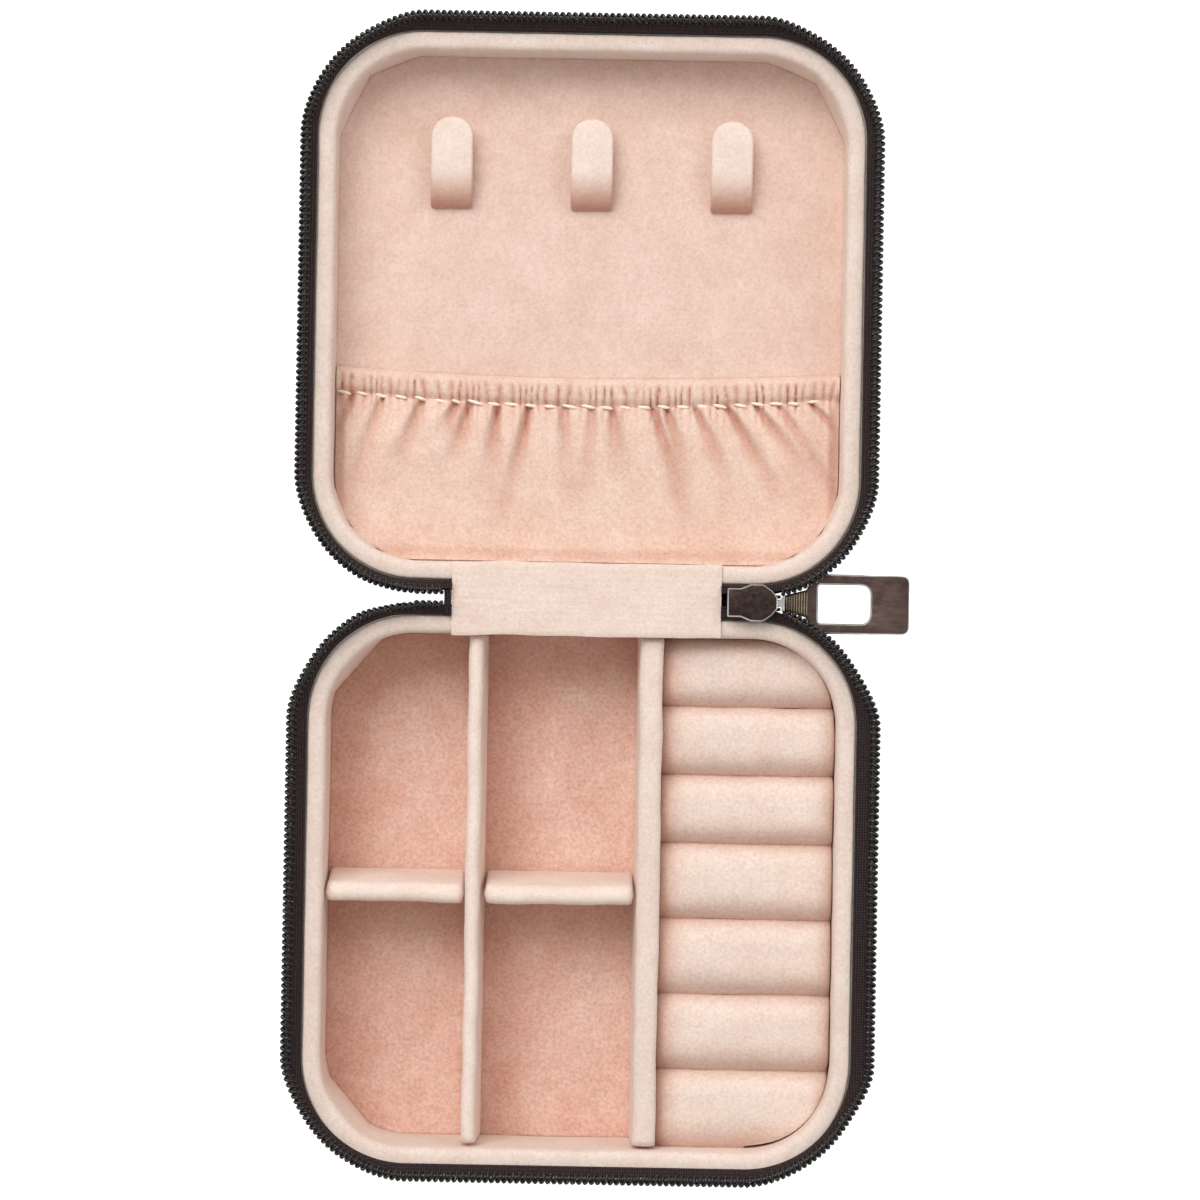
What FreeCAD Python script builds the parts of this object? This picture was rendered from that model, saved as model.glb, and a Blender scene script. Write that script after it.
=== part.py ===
import FreeCAD, Part

import math
import os
import Sketcher
from FreeCAD import Placement, Rotation, Vector

# Travel jewelry case, opened flat.
# Origin: centre of the base's underside, +Z up, +Y towards the lid, +X to the right.
# The base and the lid are equal halves, joined at the back by a flat fabric spine with two fold lines.

doc = FreeCAD.newDocument("travel_jewelry_case")
sizes = doc.addObject("Spreadsheet::Sheet", "Sizes")

SIZES = [
    ("cover_width", 96, "outside of each leather-covered half, square"),
    ("cover_radius", 19.5, "its corner radius"),
    ("cover_height", 21.5, "height of the leather wall"),
    ("cover_wall", 1.2, "leather cover with its foam backing"),
    ("cover_round", 3, "rounding of the outer bottom edge"),
    ("board_wall", 1.4, "moulded board inside the cover"),
    ("lining_wall", 2.3, "padded velvet lining on the board"),
    ("rim_height", 21.6, "top of the velvet rim"),
    ("rim_lap", 0.7, "thickness of the velvet lapped over the board's edge"),
    ("rim_reach", 0.7, "how far the lap reaches outwards over the board"),
    ("floor_pad", 0.8, "velvet pad on the floor"),
    ("pad_gap", 0.05, "clearance round a pad, a panel or a header"),
    ("lid_offset", 98.4, "distance between the centres of the open halves"),
    ("spine_width", 6.4, "distance between the spine's two fold lines"),
    ("spine_height", 21.8, "height of the fold lines"),
    ("strip_length", 46, "velvet hinge strip, along X"),
    ("strip_shift", 0.75, "its middle, to the right of the case's middle"),
    ("strip_thick", 0.7, "its thickness"),
    ("strip_gap", 0.1, "clearance between the strip and what it lies on"),
    ("strip_lap", 1.9, "how far each end of the strip is glued onto a rim"),
    ("strip_fold", 1.1, "soft stretch left free beside each fold line"),
    ("leather_fold_deep", 3.6, "depth of the leather folded in between the halves"),
    ("leather_thick", 0.6, "hinge leather"),
    ("leather_gap", 0.2, "clearance between the folded leather and a cover"),
    ("leather_drop", 0.6, "its upper edge, below the cover's"),
    ("coil_reach", 2, "how far the zip's coil stands out beyond the cover"),
    ("coil_size", 1.4, "thickness of the coil"),
    ("coil_round", 0.5, "rounding of the coil"),
    ("coil_middle", 24.15, "height of the coil's middle"),
    ("tape_foot", 21.7, "height where the zip tape leaves the rim"),
    ("tape_top", 24.1, "height where the tape meets the coil"),
    ("tape_foot_inset", 0.8, "tape's outer face at the foot, inside the cover's face"),
    ("tape_tip_inset", 0.1, "tape's outer face at the tip, inside the coil"),
    ("tape_thick", 0.7, "tape, measured level"),
    ("ring_end", 41, "where the stiff run of the zip ends near the hinge, along X"),
    ("tail_thick", 0.9, "soft zip tail"),
    ("tail_gap", 0.1, "clearance between a tail and the stiff run"),
    ("tail_end_gap", 0.4, "clearance between a tail and the slider or the end stop"),
    ("tail_outer_foot", 7.4, "tail's foot at the stiff run, from the hinge's middle"),
    ("tail_outer_tip", 3.3, "its tip there"),
    ("tail_inner_foot", 3.2, "tail's foot at its inner end, from the hinge's middle"),
    ("tail_inner_tip", 0.7, "its tip there"),
    ("tail_rise", 1.3, "inner tip and end stop, above the fold lines"),
    ("divider_top", 20.6, "height of the two long dividers"),
    ("left_divider_x", -17.7, "middle of the left long divider"),
    ("left_divider_thick", 3, "its thickness"),
    ("right_divider_x", 11.5, "middle of the long divider beside the ring rolls"),
    ("right_divider_thick", 3.9, "its thickness"),
    ("cross_thick", 4.9, "loose cross dividers"),
    ("cross_top", 19.8, "their height above the underside"),
    ("cross_gap", 0.25, "clearance at their ends and foot"),
    ("roll_top", 17.6, "height of the ring rolls"),
    ("roll_back_width", 11.5, "the three rolls at the back"),
    ("roll_front_width", 12.7, "the four rolls at the front"),
    ("roll_gap", 0.1, "slit between rolls"),
    ("roll_wall_gap", 0.2, "clearance between the rolls' ends and the lining"),
    ("foam_top", 8, "top of the foam behind the lid's panel"),
    ("panel_top", 10.5, "top of the lid's velvet panel"),
    ("hook_pitch", 23.85, "distance between the necklace hooks"),
    ("hook_width", 7.2, "hook, along X"),
    ("hook_start", 17.2, "root of the hook, beyond the lid's middle"),
    ("hook_length", 15.4, "from its root to its tip"),
    ("hook_thick", 1.5, "its thickness"),
    ("hook_rise", 3.8, "its top above the panel"),
    ("hook_round", 3.55, "rounding of its tip"),
    ("pocket_top_edge", 10.6, "pocket's top edge, in front of the lid's middle"),
    ("pocket_header", 5.6, "gathered header above the pocket's seam"),
    ("pocket_gap", 0.2, "clearance around the pocket"),
    ("header_thick", 3, "gathered header"),
    ("cloth_thick", 2.6, "pocket cloth with its slack"),
    ("slider_start", 24.1, "slider's tail, beside the strip"),
    ("slider_length", 9.4, "slider, along X"),
    ("slider_wide", 3.76, "from its tail to where it is widest"),
    ("slider_shoulder", 6.58, "from its tail to where it draws in"),
    ("slider_width", 6, "inner plate at its widest"),
    ("slider_tail_width", 4.9, "inner plate at its tail"),
    ("slider_nose_width", 2.2, "inner plate at its nose"),
    ("outer_plate_width", 5.2, "outer plate"),
    ("plate_thick", 0.65, "both plates"),
    ("outer_plate_foot", 21.85, "underside of the outer plate"),
    ("plate_space", 1.5, "space between the plates, where the coils run"),
    ("post_width", 1, "post between the plates, across the zip"),
    ("post_length", 1.6, "along the zip"),
    ("pin_x", 32.2, "pull's pin, along X"),
    ("pin_z", 20.55, "its height"),
    ("pin_radius", 0.35, "its radius"),
    ("lug_thick", 0.4, "each lug that holds the pin"),
    ("lug_length", 1.7, "along X"),
    ("lug_foot", 0.3, "lug, below the pin"),
    ("barrel_width", 1.2, "pull's barrel on the pin"),
    ("barrel_radius", 0.78, "its radius"),
    ("barrel_bore", 0.45, "its bore's radius"),
    ("lug_space", 1.4, "space between the lugs"),
    ("pull_thick", 1.2, "pull tab"),
    ("neck_width", 3.4, "neck of the pull"),
    ("neck_start", 33.9, "where the neck reaches its full width"),
    ("shoulder_start", 38.4, "where the tab begins"),
    ("shoulder_end", 40.6, "where it reaches its full width"),
    ("shoulder_step", 0.25, "tab's start, outside the window's side"),
    ("tab_end", 55, "end of the tab"),
    ("tab_width", 10.1, "tab, across"),
    ("window_start", 39.8, "near edge of the tab's window"),
    ("window_length", 9, "window, along X"),
    ("window_width", 6.1, "window, across"),
    ("stop_length", 1.6, "zip's end stop"),
    ("stop_width", 3.4, "across both coils"),
    ("stop_thick", 1.2, "its thickness"),
]


def fill_sheet():
    for row, (alias, number, note) in enumerate(SIZES, start=1):
        sizes.set(f"A{row}", str(number))
        sizes.setAlias(f"A{row}", alias)
        sizes.set(f"B{row}", note)
    doc.recompute()


def value(formula):
    # a formula's number, from the sheet
    return float(sizes.evalExpression(formula))


def name_sizes(formula):
    # short formulas use the sheet's aliases alone; this gives them the sheet's name
    words = formula.replace("(", " ( ").replace(")", " ) ").split()
    return " ".join("Sizes." + w if w[0].isalpha() else w for w in words)


# how near a measured place may be to the wanted one
NEAR = 0.01

# the ring rolls, counted from the back; the corner ones are trimmed to the lining's rounding
ROLLS = 7
BACK_ROLLS = 3
CORNER_ROLLS = (1, 2, 6, 7)

# what the halves are made of, as distances inside the cover's outer face
BOARD_OUT = "cover_wall"
LINING_OUT = "cover_wall + board_wall"
LINING_IN = "cover_wall + board_wall + lining_wall"
LAP_OUT = "cover_wall + board_wall - rim_reach"
BOARD_FLOOR = "cover_wall"
PAD_FLOOR = "cover_wall + cover_wall"
FLOOR = "cover_wall + cover_wall + floor_pad"
BOARD_TOP = "rim_height - rim_lap"
HINGE_Y = "lid_offset / 2"
NEAR_FOLD = "lid_offset / 2 - spine_width / 2"

subparts = {}


def new_body(label):
    body = doc.addObject("PartDesign::Body", label)
    body.Label = label
    subparts[label] = body
    return body


def sketch_on(body, name, role, offset="0"):
    sketch = body.newObject("Sketcher::SketchObject", name)
    plane = next(f for f in body.Origin.OriginFeatures if f.Role == role)
    sketch.AttachmentSupport = (plane, [""])
    sketch.MapMode = "FlatFace"
    sketch.setExpression("AttachmentOffset.Base.z", name_sizes(offset))
    return sketch


def hold(sketch, kind, places, name, formula):
    # one driving dimension of a sketch, bound to the sheet
    number = sketch.addConstraint(Sketcher.Constraint(kind, *places, value(name_sizes(formula))))
    sketch.renameConstraint(number, name)
    sketch.setExpression("Constraints." + name, name_sizes(formula))


def add_outline(sketch, inset):
    # a rounded square, centred, its sides the given distance inside the cover's outer face
    half = value(name_sizes(f"cover_width / 2 - ( {inset} )"))
    radius = value(name_sizes(f"cover_radius - ( {inset} )"))
    flat = half - radius
    first = len(sketch.Geometry)
    corners = [(flat, -flat, -90), (flat, flat, 0), (-flat, flat, 90), (-flat, -flat, 180)]
    for x, y, turn in corners:
        low = math.radians(turn)
        out = Vector(math.cos(low), math.sin(low), 0) * radius
        along = Vector(-math.sin(low), math.cos(low), 0)
        end = Vector(x, y, 0) + out
        sketch.addGeometry(Part.LineSegment(end - along * 2 * flat, end))
        circle = Part.Circle(Vector(x, y, 0), Vector(0, 0, 1), radius)
        sketch.addGeometry(Part.ArcOfCircle(circle, low, low + math.pi / 2))
    for step in range(8):
        sketch.addConstraint(
            Sketcher.Constraint("Tangent", first + step, 2, first + (step + 1) % 8, 1)
        )
    for step in (0, 4):
        sketch.addConstraint(Sketcher.Constraint("Horizontal", first + step))
        sketch.addConstraint(Sketcher.Constraint("Vertical", first + step + 2))
    for step in (1, 3, 5):
        sketch.addConstraint(Sketcher.Constraint("Equal", first + step, first + step + 2))
    side = f"cover_width / 2 - ( {inset} )"
    hold(sketch, "DistanceX", (-1, 1, first + 2, 1), f"right{first}", side)
    hold(sketch, "DistanceX", (first + 6, 1, -1, 1), f"left{first}", side)
    hold(sketch, "DistanceY", (-1, 1, first + 4, 1), f"back{first}", side)
    hold(sketch, "DistanceY", (first, 1, -1, 1), f"front{first}", side)
    hold(sketch, "Radius", (first + 1,), f"radius{first}", f"cover_radius - ( {inset} )")


def add_polygon(sketch, points):
    # straight sides between points whose places are formulas
    first = len(sketch.Geometry)
    places = [Vector(value(name_sizes(a)), value(name_sizes(b)), 0) for a, b in points]
    count = len(points)
    for step in range(count):
        sketch.addGeometry(Part.LineSegment(places[step], places[(step + 1) % count]))
    for step in range(count):
        here = first + step
        after = first + (step + 1) % count
        sketch.addConstraint(Sketcher.Constraint("Coincident", here, 2, after, 1))
    for step, (a, b) in enumerate(points):
        hold(sketch, "DistanceX", (-1, 1, first + step, 1), f"across{first + step}", a)
        hold(sketch, "DistanceY", (-1, 1, first + step, 1), f"along{first + step}", b)


def add_rectangle(sketch, left, right, low, high):
    add_polygon(sketch, [(left, low), (right, low), (right, high), (left, high)])


def add_circle(sketch, across, along, radius):
    first = len(sketch.Geometry)
    middle = Vector(value(name_sizes(across)), value(name_sizes(along)), 0)
    sketch.addGeometry(Part.Circle(middle, Vector(0, 0, 1), value(name_sizes(radius))))
    hold(sketch, "DistanceX", (-1, 1, first, 3), f"across{first}", across)
    hold(sketch, "DistanceY", (-1, 1, first, 3), f"along{first}", along)
    hold(sketch, "Radius", (first,), f"radius{first}", radius)


def pad(body, sketch, length, both_ways=False):
    feature = body.newObject("PartDesign::Pad", sketch.Name + "_pad")
    feature.Profile = sketch
    feature.Midplane = both_ways
    feature.setExpression("Length", name_sizes(length))
    doc.recompute()
    return feature


def pocket(body, sketch, length, upwards=False, both_ways=False):
    # a pocket that takes nothing away is an error in the model
    before = body.Shape.Volume
    feature = body.newObject("PartDesign::Pocket", sketch.Name + "_pocket")
    feature.Profile = sketch
    feature.Reversed = upwards
    feature.Midplane = both_ways
    feature.setExpression("Length", name_sizes(length))
    doc.recompute()
    if body.Shape.Volume > before - NEAR:
        raise ValueError(f"{sketch.Name} cuts nothing")
    return feature


def fillet(body, radius, wanted):
    # rounds the edges of the body's last feature that the test picks
    base = body.Tip
    names = [f"Edge{n}" for n, edge in enumerate(base.Shape.Edges, start=1) if wanted(edge)]
    feature = body.newObject("PartDesign::Fillet", f"{body.Name}_fillet{len(body.Group)}")
    feature.Base = (base, names)
    feature.setExpression("Radius", name_sizes(radius))
    doc.recompute()
    return feature


def slab(body, name, inset, low, high):
    sketch = sketch_on(body, name, "XY_Plane", low)
    add_outline(sketch, inset)
    pad(body, sketch, f"{high} - ( {low} )")


def hollow(body, name, inset, low, high):
    sketch = sketch_on(body, name, "XY_Plane", low)
    add_outline(sketch, inset)
    pocket(body, sketch, f"{high} - ( {low} )", upwards=True)


def box(label, left, right, front, back, low, high):
    # a plain block between six planes
    block = doc.addObject("Part::Box", label)
    block.Label = label
    for name, a, b in (("Length", left, right), ("Width", front, back), ("Height", low, high)):
        block.setExpression(name, name_sizes(f"{b} - ( {a} )"))
    for axis, start in (("x", left), ("y", front), ("z", low)):
        block.setExpression(f"Placement.Base.{axis}", name_sizes(start))
    subparts[label] = block
    return block


def at_lid(body, turned=False):
    # the lid lies beyond the hinge; its shell is the base's, turned about the vertical
    if turned:
        body.Placement = Placement(Vector(0, 0, 0), Rotation(Vector(0, 0, 1), 180))
    body.setExpression("Placement.Base.y", name_sizes("lid_offset"))


# the two halves' shells


def make_cover(half):
    body = new_body(half + "_cover")
    slab(body, half + "_cover_block", "0", "0", "cover_height")
    hollow(body, half + "_cover_room", BOARD_OUT, BOARD_FLOOR, BOARD_TOP)
    hollow(body, half + "_cover_mouth", LAP_OUT, BOARD_TOP, "cover_height")
    fillet(body, "cover_round", lambda edge: edge.BoundBox.ZMax < NEAR)
    return body


def make_board(half):
    body = new_body(half + "_board")
    slab(body, half + "_board_block", BOARD_OUT, BOARD_FLOOR, BOARD_TOP)
    hollow(body, half + "_board_room", LINING_OUT, PAD_FLOOR, BOARD_TOP)
    return body


def make_lining(half):
    body = new_body(half + "_lining")
    slab(body, half + "_lining_wall", LINING_OUT, PAD_FLOOR, BOARD_TOP)
    slab(body, half + "_lining_lap", LAP_OUT, BOARD_TOP, "rim_height")
    hollow(body, half + "_lining_room", LINING_IN, PAD_FLOOR, "rim_height")
    return body


def make_tape(half):
    # the tape rises from the rim and leans outwards to the coil
    body = new_body(half + "_zip_tape")
    foot = "tape_foot_inset"
    top = "coil_size - coil_reach + tape_tip_inset"
    for part, kind, extra in (
        ("outer", "PartDesign::AdditiveLoft", "0"),
        ("inner", "PartDesign::SubtractiveLoft", "tape_thick"),
    ):
        low = sketch_on(body, f"{half}_tape_{part}_foot", "XY_Plane", "tape_foot")
        add_outline(low, f"{foot} + {extra}")
        high = sketch_on(body, f"{half}_tape_{part}_top", "XY_Plane", "tape_top")
        add_outline(high, f"{top} + {extra}")
        loft = body.newObject(kind, f"{half}_tape_{part}")
        loft.Profile = low
        loft.Sections = [high]
        loft.Ruled = True
        doc.recompute()
    cut_hinge_side(body, half + "_tape_end")
    return body


def make_coil(half):
    body = new_body(half + "_zip_coil")
    low = "coil_middle - coil_size / 2"
    high = "coil_middle + coil_size / 2"
    slab(body, half + "_coil_block", "0 - coil_reach", low, high)
    hollow(body, half + "_coil_room", "coil_size - coil_reach", low, high)
    fillet(body, "coil_round", lambda edge: edge.BoundBox.ZLength < NEAR)
    cut_hinge_side(body, half + "_coil_end")
    return body


def cut_hinge_side(body, name):
    # the stiff run of the zip ends short of the hinge, where the soft tails take over
    sketch = sketch_on(body, name, "XY_Plane", "cover_height")
    add_rectangle(sketch, "0 - ring_end", "ring_end", "cover_width / 4", "cover_width")
    pocket(body, sketch, "coil_middle + coil_size - cover_height", upwards=True)


def make_shell(half):
    pieces = [make_cover(half), make_board(half), make_lining(half), make_tape(half), make_coil(half)]
    if half == "lid":
        for piece in pieces:
            at_lid(piece, turned=True)


# soft zip tails, between the stiff run and the slider or the end stop


def tail_section(body, name, x, points):
    # a thin strip across the tail, from its foot on the rim up to the coil's edge
    (foot_y, foot_z), (tip_y, tip_z) = points
    sketch = sketch_on(body, name, "YZ_Plane", x)
    add_polygon(
        sketch,
        [
            (foot_y, foot_z),
            (f"{foot_y} + tail_thick", foot_z),
            (tip_y, f"{tip_z} - tail_thick / 2"),
            (f"{tip_y} - tail_thick / 2", f"{tip_z} + tail_thick / 2"),
        ],
    )
    return sketch


def make_tail(label, side, inner_x, lid=False):
    body = new_body(label)
    outer = [
        (f"{HINGE_Y} - tail_outer_foot", "tape_foot"),
        (f"{HINGE_Y} - tail_outer_tip", "coil_middle"),
    ]
    inner = [
        (f"{HINGE_Y} - tail_inner_foot", "tape_foot"),
        (f"{HINGE_Y} - tail_inner_tip", "spine_height + tail_rise"),
    ]
    start = tail_section(body, label + "_outer", f"{side} ( ring_end - tail_gap )", outer)
    end = tail_section(body, label + "_inner", inner_x, inner)
    loft = body.newObject("PartDesign::AdditiveLoft", label + "_loft")
    loft.Profile = start
    loft.Sections = [end]
    loft.Ruled = True
    if lid:
        at_lid(body, turned=True)
    doc.recompute()
    return body


# base interior


def make_base_interior():
    floor = new_body("base_floor_pad")
    slab(floor, "base_floor_outline", f"{LINING_IN} + pad_gap", PAD_FLOOR, FLOOR)
    front = f"{LINING_IN} - cover_width / 2"
    back = f"cover_width / 2 - ( {LINING_IN} )"
    for label, side in (("long_divider", "left"), ("roll_divider", "right")):
        middle = f"{side}_divider_x"
        thick = f"{side}_divider_thick"
        left = f"{middle} - {thick} / 2"
        right = f"{middle} + {thick} / 2"
        box(label, left, right, front, back, FLOOR, "divider_top")
    spans = {
        "cross_divider_left": (
            f"{front} + cross_gap",
            "left_divider_x - left_divider_thick / 2 - cross_gap",
        ),
        "cross_divider_right": (
            "left_divider_x + left_divider_thick / 2 + cross_gap",
            "right_divider_x - right_divider_thick / 2 - cross_gap",
        ),
    }
    for label, (left, right) in spans.items():
        low = f"{FLOOR} + cross_gap"
        box(label, left, right, "0 - cross_thick / 2", "cross_thick / 2", low, "cross_top")


def roll_blank(label, width):
    # a padded roll with a half-round top, lying along X
    body = doc.addObject("PartDesign::Body", label)
    body.Label = label
    half = f"{width} / 2"
    start = "right_divider_x + right_divider_thick / 2 + roll_wall_gap"
    sketch = sketch_on(body, label + "_end", "YZ_Plane", start)
    side_top = f"roll_top - {half}"
    left = Vector(-value(name_sizes(half)), 0, 0)
    low = value(name_sizes(FLOOR))
    high = value(name_sizes(side_top))
    corners = [Vector(left.x, high, 0), Vector(left.x, low, 0), Vector(-left.x, low, 0)]
    corners.append(Vector(-left.x, high, 0))
    for corner, following in zip(corners, corners[1:]):
        sketch.addGeometry(Part.LineSegment(corner, following))
    circle = Part.Circle(Vector(0, high, 0), Vector(0, 0, 1), -left.x)
    sketch.addGeometry(Part.ArcOfCircle(circle, 0, math.pi))
    for step in range(2):
        sketch.addConstraint(Sketcher.Constraint("Coincident", step, 2, step + 1, 1))
    sketch.addConstraint(Sketcher.Constraint("Tangent", 2, 2, 3, 1))
    sketch.addConstraint(Sketcher.Constraint("Tangent", 3, 2, 0, 1))
    sketch.addConstraint(Sketcher.Constraint("Horizontal", 1))
    sketch.addConstraint(Sketcher.Constraint("Vertical", 0))
    hold(sketch, "DistanceX", (-1, 1, 1, 2), "half_width", half)
    hold(sketch, "DistanceX", (1, 1, -1, 1), "other_half", half)
    hold(sketch, "DistanceY", (-1, 1, 1, 1), "foot", FLOOR)
    hold(sketch, "DistanceY", (-1, 1, 3, 3), "side_top", side_top)
    length = f"cover_width / 2 - ( {LINING_IN} ) - roll_wall_gap - right_divider_x"
    pad(body, sketch, f"{length} - right_divider_thick / 2 - roll_wall_gap")
    return body


def make_rolls():
    # the back rolls are wider than the front ones
    well = doc.addObject("PartDesign::Body", "roll_well")
    slab(well, "roll_well_outline", f"{LINING_IN} + roll_wall_gap", PAD_FLOOR, "cover_height")
    back = f"cover_width / 2 - ( {LINING_IN} ) - roll_gap / 2"
    for number in range(1, ROLLS + 1):
        label = f"ring_roll_{number}"
        corner = number in CORNER_ROLLS
        behind = min(number - 1, BACK_ROLLS)
        ahead = max(number - BACK_ROLLS - 1, 0)
        width = "roll_back_width" if number <= BACK_ROLLS else "roll_front_width"
        passed = f"{behind} * roll_back_width + {ahead} * roll_front_width + {number} * roll_gap"
        blank = roll_blank(label + "_blank" if corner else label, width)
        blank.setExpression("Placement.Base.y", name_sizes(f"{back} - ( {passed} ) - {width} / 2"))
        if corner:
            trimmed = doc.addObject("Part::Common", label)
            trimmed.Label = label
            trimmed.Base = blank
            trimmed.Tool = well
            subparts[label] = trimmed
        else:
            subparts[label] = blank
    doc.recompute()


# lid interior


def make_lid_interior():
    foam = new_body("lid_foam")
    slab(foam, "lid_foam_outline", f"{LINING_IN} + pad_gap", PAD_FLOOR, "foam_top")
    panel = new_body("lid_panel")
    slab(panel, "lid_panel_outline", f"{LINING_IN} + pad_gap", "foam_top", "panel_top")
    for piece in (foam, panel):
        at_lid(piece)
    for number, place in enumerate((-1, 0, 1), start=1):
        make_hook(f"hook_{number}", f"{place} * hook_pitch")


def make_hook(label, x):
    # a padded tab that rises from a slit in the panel and turns over towards the lid's far side
    body = new_body(label)
    tip = "hook_start + hook_length"
    low = "panel_top"
    high = "panel_top + hook_rise"
    sketch = sketch_on(body, label + "_side", "YZ_Plane")
    add_polygon(
        sketch,
        [
            ("hook_start", low),
            ("hook_start + hook_thick", low),
            ("hook_start + hook_thick", f"{high} - hook_thick"),
            (tip, f"{high} - hook_thick"),
            (tip, high),
            ("hook_start", high),
        ],
    )
    pad(body, sketch, "hook_width", both_ways=True)
    tip_y = value(name_sizes(tip))

    def upright_at_tip(edge):
        place = edge.BoundBox
        return place.YMin > tip_y - NEAR and place.ZLength > NEAR and place.XLength < NEAR

    fillet(body, "hook_round", upright_at_tip)
    body.setExpression("Placement.Base.x", name_sizes(x))
    at_lid(body)
    doc.recompute()


def make_pocket():
    # the cloth fills the lid's near end; its blank is trimmed to the lining's rounding
    well = doc.addObject("PartDesign::Body", "pocket_well")
    slab(well, "pocket_well_outline", f"{LINING_IN} + pocket_gap", "panel_top", "cover_height")
    at_lid(well)
    wide = f"cover_width / 2 - ( {LINING_IN} ) - pocket_gap"
    seam = "lid_offset - pocket_top_edge - pocket_header"
    low = "panel_top + pocket_gap"
    front = f"lid_offset - ( {wide} )"
    blank = box("pocket_blank", f"0 - ( {wide} )", wide, front, seam, low, f"{low} + cloth_thick")
    del subparts["pocket_blank"]
    cloth = doc.addObject("Part::Common", "pocket_cloth")
    cloth.Label = "pocket_cloth"
    cloth.Base = blank
    cloth.Tool = well
    subparts["pocket_cloth"] = cloth
    top = "lid_offset - pocket_top_edge"
    start = f"{seam} + pad_gap"
    box("pocket_header", f"0 - ( {wide} )", wide, start, top, low, f"{low} + header_thick")


# spine, slider and pull


def make_spine():
    left = "strip_shift - strip_length / 2"
    right = "strip_shift + strip_length / 2"
    far = "lid_offset / 2 + spine_width / 2"
    low = "rim_height + strip_gap"
    high = f"{low} + strip_thick"
    box("hinge_strip", left, right, f"{NEAR_FOLD} + strip_gap", f"{far} - strip_gap", low, high)
    base_end = f"{NEAR_FOLD} - strip_fold"
    box("base_strip_lap", left, right, f"{base_end} - strip_lap", base_end, low, high)
    lid_end = f"{far} + strip_fold"
    box("lid_strip_lap", left, right, lid_end, f"{lid_end} + strip_lap", low, high)
    leather = new_body("hinge_leather")
    sketch = sketch_on(leather, "leather_fold", "YZ_Plane", "strip_shift")
    out = "lid_offset / 2 - cover_width / 2 - leather_gap"
    inside = f"{out} - leather_thick"
    top = "cover_height - leather_drop"
    bottom = f"{top} - leather_fold_deep"
    add_polygon(
        sketch,
        [
            (f"{HINGE_Y} - ( {out} )", top),
            (f"{HINGE_Y} - ( {out} )", bottom),
            (f"{HINGE_Y} + ( {out} )", bottom),
            (f"{HINGE_Y} + ( {out} )", top),
            (f"{HINGE_Y} + ( {inside} )", top),
            (f"{HINGE_Y} + ( {inside} )", f"{bottom} + leather_thick"),
            (f"{HINGE_Y} - ( {inside} )", f"{bottom} + leather_thick"),
            (f"{HINGE_Y} - ( {inside} )", top),
        ],
    )
    pad(leather, sketch, "strip_length", both_ways=True)
    stop_left = f"{left} - stop_length - strip_gap"
    middle = "spine_height + tail_rise"
    box(
        "zip_end_stop",
        stop_left,
        f"{left} - strip_gap",
        f"{HINGE_Y} - stop_width / 2",
        f"{HINGE_Y} + stop_width / 2",
        f"{middle} - stop_thick / 2",
        f"{middle} + stop_thick / 2",
    )


def make_slider():
    body = new_body("zip_slider")
    tail = "slider_start"
    wide = "slider_start + slider_wide"
    shoulder = "slider_start + slider_shoulder"
    nose = "slider_start + slider_length"
    outer_top = "outer_plate_foot + plate_thick"
    inner_foot = f"{outer_top} + plate_space"
    outer = sketch_on(body, "slider_outer_plate", "XY_Plane", "outer_plate_foot")
    add_plate(outer, tail, wide, shoulder, nose, "outer_plate_width")
    pad(body, outer, "plate_thick")
    post = sketch_on(body, "slider_post", "XY_Plane", "outer_plate_foot")
    add_rectangle(
        post,
        f"{shoulder} - post_length / 2",
        f"{shoulder} + post_length / 2",
        f"{HINGE_Y} - post_width / 2",
        f"{HINGE_Y} + post_width / 2",
    )
    pad(body, post, "plate_thick + plate_space + plate_thick")
    inner = sketch_on(body, "slider_inner_plate", "XY_Plane", inner_foot)
    add_plate(inner, tail, wide, shoulder, nose, "slider_width")
    pad(body, inner, "plate_thick")
    lug_low = "pin_z - pin_radius - lug_foot"
    for side, start in (
        ("front", f"{HINGE_Y} - lug_space / 2 - lug_thick"),
        ("back", f"{HINGE_Y} + lug_space / 2"),
    ):
        lug = sketch_on(body, f"slider_{side}_lug", "XY_Plane", lug_low)
        left = "pin_x - lug_length / 2"
        add_rectangle(lug, left, f"{left} + lug_length", start, f"{start} + lug_thick")
        pad(body, lug, f"{outer_top} - ( {lug_low} )")
    pin = sketch_on(body, "slider_pin", "XZ_Plane", f"0 - ( {HINGE_Y} )")
    add_circle(pin, "pin_x", "pin_z", "pin_radius")
    pad(body, pin, "lug_space + lug_thick", both_ways=True)
    return body


def add_plate(sketch, tail, wide, shoulder, nose, width):
    # narrow at the tail, widest in the middle, drawn in to a blunt nose
    tail_half = f"( {width} - slider_width + slider_tail_width ) / 2"
    half = f"{width} / 2"
    nose_half = "slider_nose_width / 2"
    add_polygon(
        sketch,
        [
            (tail, f"{HINGE_Y} - {tail_half}"),
            (wide, f"{HINGE_Y} - {half}"),
            (shoulder, f"{HINGE_Y} - {half}"),
            (nose, f"{HINGE_Y} - {nose_half}"),
            (nose, f"{HINGE_Y} + {nose_half}"),
            (shoulder, f"{HINGE_Y} + {half}"),
            (wide, f"{HINGE_Y} + {half}"),
            (tail, f"{HINGE_Y} + {tail_half}"),
        ],
    )


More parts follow.
